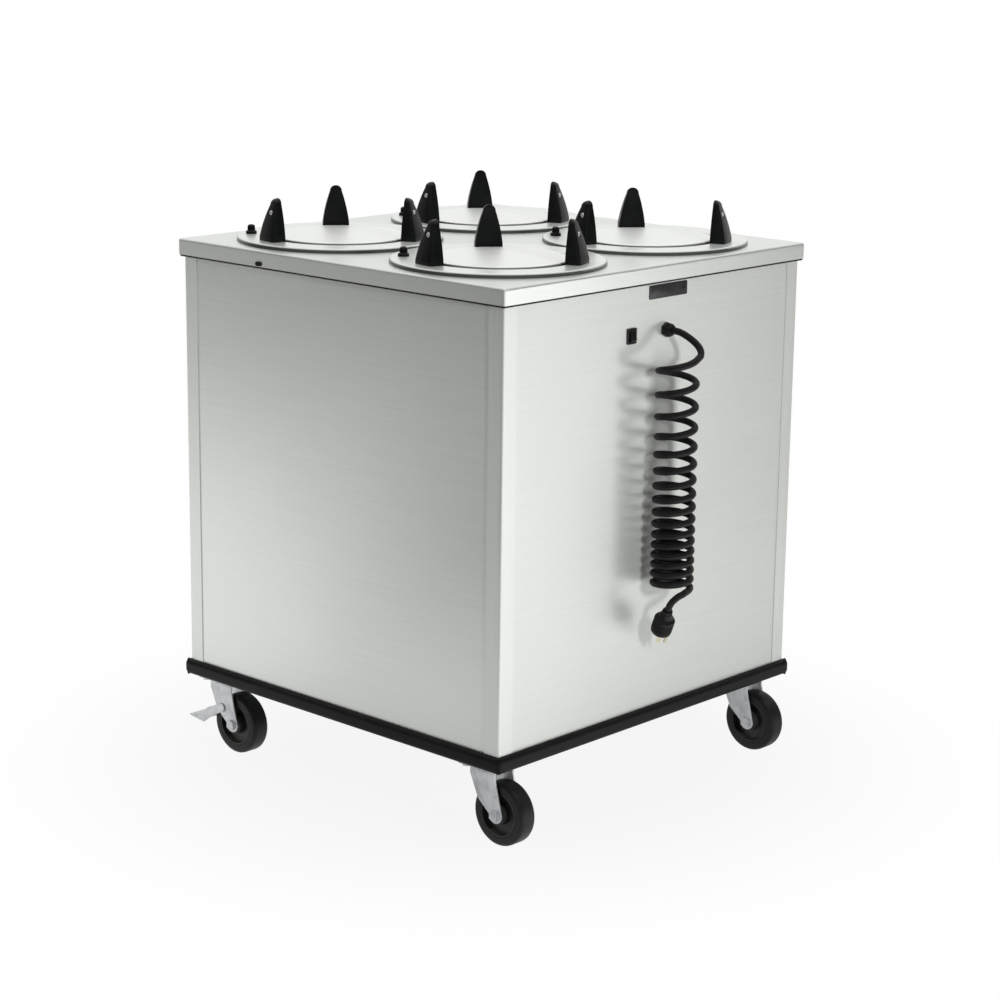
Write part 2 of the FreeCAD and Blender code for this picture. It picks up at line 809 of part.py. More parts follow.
def curl_point(turn):
    angle = curl_angle(turn)
    left = 1 - turn / curl_count
    eased = curl_count / (curl_easing + 1) * (1 - left ** (curl_easing + 1))
    drop = curl_tight_pitch * turn + (curl_loose_pitch - curl_tight_pitch) * eased
    return Vector(coil_centre_x + coil_radius * math.cos(angle),
                  coil_centre_y + coil_radius * math.sin(angle), coil_top - drop)


def curl_heading(turn):
    angle = curl_angle(turn)
    left = 1 - turn / curl_count
    pitch = curl_tight_pitch + (curl_loose_pitch - curl_tight_pitch) * left ** curl_easing
    circle = 2 * math.pi * coil_radius
    heading = Vector(circle * math.sin(angle), -circle * math.cos(angle), -pitch)
    heading.normalize()
    return heading


def tube_along(edges, name):
    path = Part.Wire(edges)
    first = edges[0]
    start = first.valueAt(first.FirstParameter)
    heading = first.tangentAt(first.FirstParameter)
    circle = Part.Wire(Part.Circle(start, heading, cord_radius).toShape())
    tube = path.makePipeShell([circle], True, False)
    share = tube.Volume / (math.pi * cord_radius ** 2 * path.Length)
    print(name, "length", round(path.Length, 1), "volume over section times length", round(share, 4))
    return tube


def rounded_route(points, name):
    # Straight runs with an arc at each corner as large as the two runs allow.
    edges, radii, start = [], [], points[0]
    for before, corner, after in zip(points, points[1:], points[2:]):
        into, out_of = corner - before, after - corner
        trim = arc_share * min(into.Length, out_of.Length)
        radii.append(round(trim / math.tan(into.getAngle(out_of) / 2), 1))
        into.normalize()
        out_of.normalize()
        first, last = corner - into * trim, corner + out_of * trim
        edges.append(Part.LineSegment(start, first).toShape())
        edges.append(arc_from(first, into, last))
        start = last
    edges.append(Part.LineSegment(start, points[-1]).toShape())
    print(name, "arc radii", radii)
    return edges


def make_cord_coil():
    top, bottom = curl_point(0), curl_point(curl_count)
    first = top - curl_heading(0) * cord_diameter
    last = bottom + curl_heading(curl_count) * cord_diameter
    edges = [Part.LineSegment(first, top).toShape()]
    for step in range(curl_count * 2):
        turn, later = step / 2, (step + 1) / 2
        edges += biarc(curl_point(turn), curl_heading(turn), curl_point(later), curl_heading(later))
    edges.append(Part.LineSegment(bottom, last).toShape())
    samples = [curl_point(count / curl_samples) for count in range(curl_count * curl_samples + 1)]
    apart = curl_samples * 2 // 3
    nearest = min(point.distanceToPoint(other) for place, point in enumerate(samples)
                  for other in samples[place + apart:])
    print("cord_coil least gap to itself", round(nearest - cord_diameter, 2))
    return tube_along(edges, "cord_coil"), first, last


def make_cord_lead(coil_start):
    mouth = Vector(gland_x, -panel_face - gland_nut_length - gland_cone_length, gland_z)
    points = [mouth, mouth - Vector(0, lead_out, 0)]
    points += [gland_place + Vector(*point) for point in lead_points]
    points += [coil_start - curl_heading(0) * lead_in, coil_start]
    return tube_along(rounded_route(points, "cord_lead"), "cord_lead")


def make_cord_tail(coil_end):
    points = [coil_end, coil_end + curl_heading(curl_count) * tail_out]
    points += [gland_place + Vector(*point) for point in tail_points]
    heading = points[-1] - points[-2]
    return tube_along(rounded_route(points, "cord_tail"), "cord_tail"), points[-1], heading


def on_plug_axis(shape, place, heading):
    copy = shape.copy()
    copy.Placement = FreeCAD.Placement(place, FreeCAD.Rotation(up, heading)).multiply(copy.Placement)
    return copy


def make_plug_body(place, heading):
    neck = boot_length + plug_neck_length
    end = neck + plug_length
    bend = plug_radius - plug_round
    section = [
        line((0, 0, 0), (boot_radius, 0, 0)),
        line((boot_radius, 0, 0), (boot_end_radius, 0, boot_length)),
        line((boot_end_radius, 0, boot_length), (bend, 0, neck)),
        corner_arc((bend, 0, neck), (bend, 0, neck + plug_round), (plug_radius, 0, neck + plug_round)),
        line((plug_radius, 0, neck + plug_round), (plug_radius, 0, end - plug_round)),
        corner_arc((plug_radius, 0, end - plug_round), (bend, 0, end - plug_round), (bend, 0, end)),
        line((bend, 0, end), (0, 0, end)),
        line((0, 0, end), (0, 0, 0)),
    ]
    return on_plug_axis(outline(section).revolve(origin, up, 360), place, heading)


def make_plug_blades(place, heading):
    face = boot_length + plug_neck_length + plug_length
    pieces = []
    for side in (-1, 1):
        y = side * blade_spacing / 2
        pieces.append(block((-blade_width / 2, y - blade_thickness / 2, face),
                            (blade_width / 2, y + blade_thickness / 2, face + blade_length)))
    pieces.append(rod(earth_radius, (earth_offset, 0, face), (earth_offset, 0, face + earth_length)))
    return [on_plug_axis(piece, place, heading) for piece in pieces]


# Casters

def bolt_places():
    half = bolt_spacing / 2
    return [(x + dx, y + dy) for x, y in caster_places for dx in (-half, half) for dy in (-half, half)]


def make_caster_plate(x, y):
    half = caster_plate_side / 2
    low = caster_height - caster_plate_sheet
    plate = block((x - half, y - half, low), (x + half, y + half, caster_height))
    plate = plate.makeFillet(caster_plate_corner, edges_along(plate, up))
    head_top = crown_under - running_gap
    race = rod(race_radius, (x, y, race_bottom), (x, y, low))
    kingpin = rod(kingpin_radius, (x, y, head_top - kingpin_head), (x, y, low))
    head = rod(kingpin_head_radius, (x, y, head_top - kingpin_head), (x, y, head_top))
    plate = plate.fuse([race, kingpin, head]).removeSplitter()
    for bolt_x, bolt_y in bolt_places():
        plate = plate.cut(rod(bolt_radius + pin_clearance, (bolt_x, bolt_y, low - overrun),
                              (bolt_x, bolt_y, caster_height + overrun)))
    return plate


def hexagon(radius, x, y, low, high):
    angles = [math.radians(60 * side) for side in range(6)]
    corners = [(x + radius * math.cos(angle), y + radius * math.sin(angle), low) for angle in angles]
    return prism(corners, (0, 0, high - low))


def make_caster_bolt(x, y):
    low, high = caster_height - caster_plate_sheet, caster_height + base_wall
    head = hexagon(bolt_head_radius, x, y, low - bolt_head, low)
    nut = hexagon(bolt_head_radius, x, y, high, high + bolt_nut)
    return head.fuse([nut, rod(bolt_radius, (x, y, low), (x, y, high))])


def make_fork(x, y, braked):
    # A bent strap: the U from the front, trimmed to the legs' outline from the side.
    half, inner = fork_half, fork_gap / 2
    bend = half - fork_bend_radius
    inner_bend = inner - fork_bend_radius + fork_sheet
    shoulder = crown_top - fork_bend_radius
    inner_shoulder = crown_under - fork_bend_radius + fork_sheet
    axle_y, axle_z = -caster_trail, wheel_radius
    front, back = axle_y - fork_boss_radius - overrun, fork_top_reach + overrun
    low = axle_z - fork_boss_radius - overrun
    strap = outline([
        line((-half, front, low), (-half, front, shoulder)),
        corner_arc((-half, front, shoulder), (-bend, front, shoulder), (-bend, front, crown_top)),
        line((-bend, front, crown_top), (bend, front, crown_top)),
        corner_arc((bend, front, crown_top), (bend, front, shoulder), (half, front, shoulder)),
        line((half, front, shoulder), (half, front, low)),
        line((half, front, low), (inner, front, low)),
        line((inner, front, low), (inner, front, inner_shoulder)),
        corner_arc((inner, front, inner_shoulder), (inner_bend, front, inner_shoulder),
                   (inner_bend, front, crown_under)),
        line((inner_bend, front, crown_under), (-inner_bend, front, crown_under)),
        corner_arc((-inner_bend, front, crown_under), (-inner_bend, front, inner_shoulder),
                   (-inner, front, inner_shoulder)),
        line((-inner, front, inner_shoulder), (-inner, front, low)),
        line((-inner, front, low), (-half, front, low)),
    ]).extrude(Vector(0, back - front, 0))
    waist = crown_top - fork_shoulder_drop
    left = -half - overrun
    across_all = Vector(2 * (half + overrun), 0, 0)
    silhouette = outline([
        line((left, -fork_top_reach, crown_top), (left, fork_top_reach, crown_top)),
        line((left, fork_top_reach, crown_top), (left, fork_top_reach, waist)),
        line((left, fork_top_reach, waist), (left, fork_elbow_y, fork_elbow_z)),
        line((left, fork_elbow_y, fork_elbow_z), (left, axle_y + fork_boss_radius, axle_z)),
        arc((left, axle_y + fork_boss_radius, axle_z), (left, axle_y, axle_z - fork_boss_radius),
            (left, axle_y - fork_boss_radius, axle_z)),
        line((left, axle_y - fork_boss_radius, axle_z), (left, -fork_top_reach, waist)),
        line((left, -fork_top_reach, waist), (left, -fork_top_reach, crown_top)),
    ]).extrude(across_all)
    fork = strap.common(silhouette)
    holes = [rod(kingpin_radius + pin_clearance, (0, 0, crown_under - overrun),
                 (0, 0, crown_top + overrun)),
             rod(axle_radius + pin_clearance, (left, axle_y, axle_z), (-left, axle_y, axle_z))]
    if braked:
        holes.append(rod(pedal_pin_radius + pin_clearance, (left, pedal_pivot_y, pedal_pivot_z),
                         (-left, pedal_pivot_y, pedal_pivot_z)))
    return moved(fork.cut(holes), x, y)


def make_axle(x, y):
    axle_y, axle_z = y - caster_trail, wheel_radius
    shank = rod(axle_radius, (x - fork_half, axle_y, axle_z), (x + fork_half, axle_y, axle_z))
    head = hexagon(axle_head_radius, 0, 0, fork_half, fork_half + axle_head)
    head = turned(head, 90, origin, inwards)
    nut = turned(head, 180)
    return shank.fuse([moved(head, x, axle_y, axle_z), moved(nut, x, axle_y, axle_z)])


def make_wheel(x, y):
    # The section of tyre, web and hub, turned about the axle.
    half, tyre = wheel_width / 2, wheel_radius - tyre_depth
    web, hub = wheel_web / 2, hub_length / 2
    bore = axle_radius + pin_clearance
    shoulder = wheel_radius - wheel_shoulder
    tread = half - wheel_shoulder
    section = outline([
        line((-hub, 0, bore), (hub, 0, bore)),
        line((hub, 0, bore), (hub, 0, hub_face_radius - wheel_draft)),
        line((hub, 0, hub_face_radius - wheel_draft), (web, 0, hub_face_radius + wheel_draft)),
        line((web, 0, hub_face_radius + wheel_draft), (web, 0, tyre - wheel_draft)),
        line((web, 0, tyre - wheel_draft), (half, 0, tyre)),
        line((half, 0, tyre), (half, 0, shoulder)),
        corner_arc((half, 0, shoulder), (tread, 0, shoulder), (tread, 0, wheel_radius)),
        line((tread, 0, wheel_radius), (-tread, 0, wheel_radius)),
        corner_arc((-tread, 0, wheel_radius), (-tread, 0, shoulder), (-half, 0, shoulder)),
        line((-half, 0, shoulder), (-half, 0, tyre)),
        line((-half, 0, tyre), (-web, 0, tyre - wheel_draft)),
        line((-web, 0, tyre - wheel_draft), (-web, 0, hub_face_radius + wheel_draft)),
        line((-web, 0, hub_face_radius + wheel_draft), (-hub, 0, hub_face_radius - wheel_draft)),
        line((-hub, 0, hub_face_radius - wheel_draft), (-hub, 0, bore)),
    ])
    return moved(section.revolve(origin, across, 360), x, y - caster_trail, wheel_radius)


def make_brake_pedal(x, y):
    # Two side arms on stub pins, a shoe facing the tread and a foot pad past the wheel.
    inner = fork_half + running_gap
    outer = inner + pedal_sheet
    angle = math.radians(shoe_angle)
    shoe_reach = wheel_radius + shoe_gap
    shoe_y = -caster_trail + shoe_reach * math.cos(angle)
    shoe_z = wheel_radius + shoe_reach * math.sin(angle)
    half_arm = pedal_arm_height / 2
    pad_start = pedal_tip_y - pedal_pad_length
    shoe_back = shoe_y + shoe_depth
    pad_top = pedal_pad_z + half_arm
    arm_outline = prism((
        (0, pedal_pivot_y, pedal_pivot_z - pedal_eye_radius), (0, shoe_y, shoe_z - shoe_height / 2),
        (0, pad_start, pedal_pad_z - half_arm), (0, pedal_tip_y, pedal_pad_z - pedal_sheet / 2),
        (0, pedal_tip_y, pedal_pad_z + pedal_sheet / 2), (0, pad_start, pad_top),
        (0, shoe_back, shoe_z + shoe_height / 2), (0, pedal_pivot_y, pedal_pivot_z + pedal_eye_radius)),
        (pedal_sheet, 0, 0))
    eye = rod(pedal_eye_radius, (0, pedal_pivot_y, pedal_pivot_z),
              (pedal_sheet, pedal_pivot_y, pedal_pivot_z))
    pin = rod(pedal_pin_radius, (-running_gap - fork_sheet, pedal_pivot_y, pedal_pivot_z),
              (0, pedal_pivot_y, pedal_pivot_z))
    arm = moved(arm_outline.fuse([eye, pin]), inner, 0)
    mirrored = arm.mirror(origin, across)
    shoe = block((-outer, shoe_y, shoe_z - shoe_height / 2), (outer, shoe_back, shoe_z + shoe_height / 2))
    pad = block((-outer, pad_start, pedal_pad_z - pedal_sheet / 2),
                (outer, pedal_tip_y, pedal_pad_z + pedal_sheet / 2))
    pedal = arm.fuse([mirrored, shoe, pad]).removeSplitter()
    return moved(pedal, x, y)


os.makedirs("parts", exist_ok=True)

plain_panel = make_plain_panel()
save("top_deck", make_top_deck())
save("rim_plug", make_rim_plug())
save("front_panel", make_front_panel(plain_panel))
save("right_panel", turned(plain_panel, 90))
save("rear_panel", turned(plain_panel, 180))
save("left_panel", turned(plain_panel, 270))
save("corner_posts", make_corner_posts())
save("name_plate", make_name_plate())
save("base_frame", make_base_frame())
save("floor_pan", make_floor_pan())
save("perimeter_bumper", make_perimeter_bumper())
save("heater_elements", [make_heater_element(x, y) for x, y in stack_centres])
save("heater_clips", [clip for x, y in stack_centres for clip in make_heater_clips(x, y)])
save("junction_box", make_junction_box())
save("thermostat", make_thermostat())
save("switch_bezel", make_switch_bezel())
save("switch_rocker", make_switch_rocker())

guide = make_guide()
for number, (x, y) in enumerate(stack_centres, 1):
    save("dispenser_flange_%d" % number, make_flange(x, y))
    save("dispenser_rails_%d" % number, make_rails(x, y))
    save("plate_carrier_%d" % number, make_carrier(x, y))
    save("carrier_springs_%d" % number, make_carrier_springs(x, y))
    save("plate_guides_%d" % number, [moved(turned(guide, angle), x, y) for angle in guide_angles])
save("flange_knobs", [make_flange_knob(centre) for centre in stack_centres])

save("caster_plates", [make_caster_plate(x, y) for x, y in caster_places])
save("caster_bolts", [make_caster_bolt(x, y) for x, y in bolt_places()])
for number, (x, y) in enumerate(caster_places, 1):
    braked = number - 1 in braked_casters
    save("caster_fork_%d" % number, make_fork(x, y, braked))
    save("caster_axle_%d" % number, make_axle(x, y))
    save("caster_wheel_%d" % number, make_wheel(x, y))
    if braked:
        save("brake_pedal_%d" % number, make_brake_pedal(x, y))

coil, coil_start, coil_end = make_cord_coil()
tail, plug_place, plug_heading = make_cord_tail(coil_end)
save("cord_gland", make_cord_gland())
save("cord_lead", make_cord_lead(coil_start))
save("cord_coil", coil)
save("cord_tail", tail)
save("plug_body", make_plug_body(plug_place, plug_heading))
save("plug_blades", make_plug_blades(plug_place, plug_heading))
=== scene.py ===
import bpy
import bmesh
import math
from mathutils import Matrix, Vector


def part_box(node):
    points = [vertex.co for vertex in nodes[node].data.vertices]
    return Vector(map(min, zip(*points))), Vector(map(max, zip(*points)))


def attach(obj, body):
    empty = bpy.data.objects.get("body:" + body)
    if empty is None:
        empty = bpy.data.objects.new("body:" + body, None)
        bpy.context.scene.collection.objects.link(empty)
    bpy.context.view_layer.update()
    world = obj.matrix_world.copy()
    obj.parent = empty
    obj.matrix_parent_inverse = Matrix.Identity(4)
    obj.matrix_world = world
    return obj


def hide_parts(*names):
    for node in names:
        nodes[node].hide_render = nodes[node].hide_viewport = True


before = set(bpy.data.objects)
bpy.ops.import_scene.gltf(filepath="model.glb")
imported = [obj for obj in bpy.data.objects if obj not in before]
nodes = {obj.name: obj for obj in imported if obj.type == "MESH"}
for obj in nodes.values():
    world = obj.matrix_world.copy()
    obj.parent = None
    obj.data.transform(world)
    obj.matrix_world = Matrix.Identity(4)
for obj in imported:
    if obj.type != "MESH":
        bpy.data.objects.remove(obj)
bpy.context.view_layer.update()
bpy.context.scene.view_settings.view_transform = "Standard"
mm = 0.001
stackPlaces = {1: (-0.177, -0.177), 2: (0.177, -0.177), 3: (0.177, 0.177), 4: (-0.177, 0.177)}
casterPlaces = {1: (-0.316, -0.306), 2: (0.316, -0.306), 3: (0.316, 0.306), 4: (-0.316, 0.306)}
print("frame loaded, nodes:", len(nodes))


# small helpers

def linear(hexColour):
    parts = [int(hexColour[i:i + 2], 16) / 255 for i in (1, 3, 5)]
    return tuple(p / 12.92 if p <= 0.04045 else ((p + 0.055) / 1.055) ** 2.4 for p in parts) + (1.0,)


def addNode(tree, kind, values=None, links=None, stops=None, **settings):
    node = tree.nodes.new("ShaderNode" + kind)
    for name, value in settings.items():
        setattr(node, name, value)
    for socket, value in (values or {}).items():
        node.inputs[socket].default_value = value
    for socket, source in (links or {}).items():
        tree.links.new(source, node.inputs[socket])
    if stops:
        elements = node.color_ramp.elements
        while len(elements) < len(stops):
            elements.new(0.5)
        for element, (position, colour) in zip(elements, stops):
            element.position = position
            element.color = colour
    return node


def newMaterial(name, shaderValues):
    material = bpy.data.materials.new(name)
    material.use_nodes = True
    tree = material.node_tree
    tree.nodes.clear()
    shader = addNode(tree, "BsdfPrincipled", shaderValues)
    addNode(tree, "OutputMaterial", links={"Surface": shader.outputs[0]})
    return material, tree, shader


def dress(nodeName, material):
    node = nodes[nodeName]
    if not node.material_slots:
        node.data.materials.append(material)
    for slot in node.material_slots:
        slot.material = material


def selectOnly(piece):
    bpy.ops.object.select_all(action="DESELECT")
    piece.select_set(True)
    bpy.context.view_layer.objects.active = piece


def startPiece(name, adder, **settings):
    if bpy.context.object and bpy.context.object.mode != "OBJECT":
        bpy.ops.object.mode_set(mode="OBJECT")
    bpy.ops.object.select_all(action="DESELECT")
    adder(**settings)
    piece = bpy.context.object
    piece.name = piece.data.name = name
    bpy.ops.object.transform_apply(location=True, rotation=True, scale=True)
    bpy.ops.object.mode_set(mode="EDIT")
    return piece


def pick(test, kind="faces"):
    # selects the faces, edges or verts of the piece being edited by where they lie
    mesh = bpy.context.object.data
    bpy.ops.mesh.select_mode(type={"faces": "FACE", "edges": "EDGE", "verts": "VERT"}[kind])
    bpy.ops.mesh.select_all(action="DESELECT")
    bm = bmesh.from_edit_mesh(mesh)
    bm.normal_update()
    for item in getattr(bm, kind):
        if kind == "faces":
            chosen = test(item.calc_center_median(), item.normal)
        elif kind == "edges":
            a, b = (v.co for v in item.verts)
            chosen = test((a + b) / 2, (b - a).normalized())
        else:
            chosen = test(item.co, item.normal)
        item.select_set(bool(chosen))
    bm.select_flush_mode()
    bmesh.update_edit_mesh(mesh)


def endPiece(piece, material, angle=35):
    if piece.mode != "OBJECT":
        bpy.ops.object.mode_set(mode="OBJECT")
    selectOnly(piece)
    if material:
        piece.data.materials.clear()
        piece.data.materials.append(material)
    bpy.ops.object.shade_smooth_by_angle(angle=math.radians(angle))
    return piece


def applyModifier(piece, kind, **settings):
    selectOnly(piece)
    modifier = piece.modifiers.new(kind.lower(), kind)
    for name, value in settings.items():
        setattr(modifier, name, value)
    bpy.ops.object.modifier_apply(modifier=modifier.name)


def cutAway(piece, tool):
    # takes the tool's shape out of the piece, and removes the tool
    bpy.ops.object.mode_set(mode="OBJECT")
    applyModifier(piece, "BOOLEAN", operation="DIFFERENCE", object=tool, solver="EXACT")
    bpy.data.objects.remove(tool)


def copyPiece(piece, name, matrix):
    twin = piece.copy()
    twin.data = piece.data.copy()
    twin.name = twin.data.name = name
    bpy.context.collection.objects.link(twin)
    twin.data.transform(matrix)
    return twin


def joinPieces(pieces, name):
    bpy.ops.object.select_all(action="DESELECT")
    for piece in pieces:
        piece.select_set(True)
    bpy.context.view_layer.objects.active = pieces[0]
    bpy.ops.object.join()
    joined = bpy.context.object
    joined.name = joined.data.name = name
    return joined


def place(piece, body, slot, *replaced):
    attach(piece, body)
    if replaced:
        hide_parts(*replaced)


# camera, at the photograph's viewing angle

cameraSet = {"place": (-3.002, -2.804, 1.434), "yaw": 47.19, "pitch": 13.66, "roll": 0.71, "lens": 90.25, "sensor": 36}


def makeCamera(s):
    yaw, pitch, roll = (math.radians(s[key]) for key in ("yaw", "pitch", "roll"))
    ahead = Vector((math.sin(yaw) * math.cos(pitch), math.cos(yaw) * math.cos(pitch), -math.sin(pitch)))
    right = Vector((math.cos(yaw), -math.sin(yaw), 0))
    above = right.cross(ahead)
    sideways = right * math.cos(roll) + above * math.sin(roll)
    upward = above * math.cos(roll) - right * math.sin(roll)
    camera = bpy.data.objects.new("camera", bpy.data.cameras.new("camera"))
    bpy.context.scene.collection.objects.link(camera)
    camera.data.lens = s["lens"]
    camera.data.sensor_width = s["sensor"]
    turn = Matrix((sideways, upward, -ahead)).transposed().to_4x4()
    camera.matrix_world = Matrix.Translation(s["place"]) @ turn
    bpy.context.scene.camera = camera


makeCamera(cameraSet)
print("camera placed")


# studio floor: white to the eye, with light and dark cloths on it that only the steel mirrors

floorSet = {
    "size": 14.0, "colour": "#808080", "roughness": 0.9, "shadowShare": 0.10, "shadowFrom": 0.3, "shadowTo": 0.95,
    "face": 0.365,  # from the middle of the cabinet to its walls
    # close: painted shadow of the cabinet on the cloths, next to its walls
    "farFrom": 0.9, "farTo": 3.0, "nearFrom": 0.5, "nearTo": 1.4, "closeFrom": 0.1, "closeTo": 0.48, "closeShare": 0.5,
    "wideFrom": -1.0, "wideTo": -2.3, "wideShare": 0.4, "seam": 0.3,
    "front": {"out": "Y", "along": "X", "lean": 1.11, "lightAt": -0.28, "darkAt": 0.04,
              "light": 2.2, "dark": 0.03, "near": 1.35, "far": 2.3},
    "left": {"out": "X", "along": "Y", "lean": 0.95, "lightAt": 0.30, "darkAt": -0.25,
             "light": 1.7, "dark": 0.06, "near": 1.2, "far": 0.05},
}


def makeCloth(tree, flat, s, c):
    # brightness by how far a spot lies out from the face, and by where along the face the camera meets it
    out = addNode(tree, "Math", {0: -s["face"]}, {1: flat.outputs[c["out"]]}, operation="SUBTRACT")
    foot = addNode(tree, "Math", {1: -c["lean"]}, {0: out.outputs[0], 2: flat.outputs[c["along"]]},
                   operation="MULTIPLY_ADD")
    factors = {}
    for name, source, start, end, first, last in (
            ("across", foot, c["lightAt"], c["darkAt"], c["light"], c["dark"]),
            ("wide", foot, s["wideFrom"], s["wideTo"], 1.0, s["wideShare"]),
            ("far", out, s["farFrom"], s["farTo"], 1.0, c["far"]),
            ("near", out, s["nearFrom"], s["nearTo"], c["near"], c["dark"]),
            # close dims the cloths next to the cabinet: a painted shadow that only the steel mirrors
            ("close", out, s["closeFrom"], s["closeTo"], s["closeShare"], 1.0)):
        factors[name] = addNode(tree, "MapRange", {"From Min": start, "From Max": end, "To Min": first, "To Max": last},
                                {"Value": source.outputs[0]}, interpolation_type="SMOOTHSTEP").outputs[0]
    longer = addNode(tree, "Math", links={0: factors["far"], 1: factors["wide"]}, operation="MULTIPLY")
    faded = addNode(tree, "Math", links={0: factors["across"], 1: longer.outputs[0]}, operation="MULTIPLY")
    lightest = addNode(tree, "Math", links={0: faded.outputs[0], 1: factors["near"]}, operation="MAXIMUM")
    return addNode(tree, "Math", links={0: lightest.outputs[0], 1: factors["close"]}, operation="MULTIPLY")


def makeFloor(s):
    bpy.ops.object.select_all(action="DESELECT")
    bpy.ops.mesh.primitive_plane_add(size=s["size"], location=(0, 0, 0))
    floor = bpy.context.object
    floor.name = "floor"
    values = {"Base Color": linear(s["colour"]), "Roughness": s["roughness"]}
    material, tree, shader = newMaterial("paintedStudioFloor", values)
    output = next(n for n in tree.nodes if n.type == "OUTPUT_MATERIAL")
    path = addNode(tree, "LightPath")
    coord = addNode(tree, "TexCoord")
    # white paper for the eye, with the object's own soft shadow near its feet
    away = addNode(tree, "VectorMath", links={0: coord.outputs["Object"]}, operation="LENGTH")
    fade = addNode(tree, "MapRange", {"From Min": s["shadowFrom"], "From Max": s["shadowTo"],
                                      "To Min": 1 - s["shadowShare"], "To Max": 1.0},
                   {"Value": away.outputs["Value"]}, interpolation_type="SMOOTHSTEP")
    seen = addNode(tree, "Math", links={0: path.outputs["Is Camera Ray"], 1: fade.outputs[0]}, operation="MULTIPLY")
    white = addNode(tree, "Emission", {"Color": (1, 1, 1, 1), "Strength": 1.0})
    # the two cloths meet in a soft seam that runs out from the cabinet's near corner
    flat = addNode(tree, "SeparateXYZ", links={0: coord.outputs["Object"]})
    front, left = (makeCloth(tree, flat, s, s[side]) for side in ("front", "left"))
    aside = addNode(tree, "Math", links={0: flat.outputs["X"], 1: flat.outputs["Y"]}, operation="SUBTRACT")
    part = addNode(tree, "MapRange", {"From Min": -s["seam"], "From Max": s["seam"]}, {"Value": aside.outputs[0]})
    cloth = addNode(tree, "Mix", links={0: part.outputs[0], 2: left.outputs[0], 3: front.outputs[0]}, data_type="FLOAT")
    mirrored = addNode(tree, "Emission", {"Color": (1, 1, 1, 1)}, {"Strength": cloth.outputs[0]})
    dull = addNode(tree, "MixShader",
                   links={0: path.outputs["Is Glossy Ray"], 1: shader.outputs[0], 2: mirrored.outputs[0]})
    mixed = addNode(tree, "MixShader", links={0: seen.outputs[0], 1: dull.outputs[0], 2: white.outputs[0]})
    tree.links.new(mixed.outputs[0], output.inputs["Surface"])
    floor.data.materials.append(material)


makeFloor(floorSet)
print("floor laid")


# room: white to the eye, and shaded by direction and height for what the steel mirrors

roomSet = {
    "heading": (0.71, 0.70, 0), "high": 0.95, "highFrom": 0.4, "highTo": 0.9, "light": 0.2,
    "around": ((0.10, 0.2), (0.34, 0.08), (0.66, 0.08), (0.90, 1.0)),  # (share of the way along the heading, level)
}


def makeRoom(s):
    world = bpy.data.worlds.new("studioWorld")
    bpy.context.scene.world = world
    world.use_nodes = True
    tree = world.node_tree
    tree.nodes.clear()
    path = addNode(tree, "LightPath")
    coord = addNode(tree, "TexCoord")
    split = addNode(tree, "SeparateXYZ", links={0: coord.outputs["Generated"]})
    facing = addNode(tree, "VectorMath", {1: s["heading"]}, {0: coord.outputs["Generated"]}, operation="DOT_PRODUCT")
    turned = addNode(tree, "MapRange", {"From Min": -1.0, "From Max": 1.0}, {"Value": facing.outputs["Value"]})
    level = addNode(tree, "ValToRGB", links={0: turned.outputs[0]},
                    stops=[(share, (grey, grey, grey, 1)) for share, grey in s["around"]])
    height = addNode(tree, "MapRange", {"From Min": s["highFrom"], "From Max": s["highTo"]},
                     {"Value": split.outputs["Z"]}, interpolation_type="SMOOTHSTEP")
    sky = addNode(tree, "Mix", {3: s["high"]}, {0: height.outputs[0], 2: level.outputs[0]}, data_type="FLOAT")
    lit = addNode(tree, "Background", {"Color": (1, 1, 1, 1)}, {"Strength": sky.outputs[0]})
    soft = addNode(tree, "Background", {"Color": (1, 1, 1, 1), "Strength": s["light"]})
    white = addNode(tree, "Background", {"Color": (1, 1, 1, 1), "Strength": 1.0})
    mirrored = addNode(tree, "MixShader",
                       links={0: path.outputs["Is Glossy Ray"], 1: soft.outputs[0], 2: lit.outputs[0]})
    seen = addNode(tree, "MixShader",
                   links={0: path.outputs["Is Camera Ray"], 1: mirrored.outputs[0], 2: white.outputs[0]})
    addNode(tree, "OutputWorld", links={"Surface": seen.outputs[0]})


makeRoom(roomSet)
print("room set")


# soft boxes, kept out of the steel's mirror

lampSet = {
    "keyBox": {"place": (-0.85, -3.0, 1.5), "size": (0.35, 0.35), "power": 53},
    "fillBox": {"place": (-1.7, 1.0, 0.3), "size": (0.5, 0.5), "power": 12},
    "overBox": {"place": (0.3, 0.4, 3.6), "size": (2.6, 2.6), "power": 72},
}
lampAim = (0, 0, 0.5)


def makeLamps(s):
    for name, values in s.items():
        lamp = bpy.data.objects.new(name, bpy.data.lights.new(name, "AREA"))
        bpy.context.scene.collection.objects.link(lamp)
        lamp.location = values["place"]
        lamp.rotation_euler = (Vector(lampAim) - lamp.location).to_track_quat("-Z", "Y").to_euler()
        lamp.data.shape = "RECTANGLE"
        lamp.data.size, lamp.data.size_y = values["size"]
        lamp.data.energy = values["power"]
        lamp.visible_camera = lamp.visible_glossy = False


makeLamps(lampSet)
print("lamps set:", len(lampSet))


# materials; every pattern's size is given in real millimetres

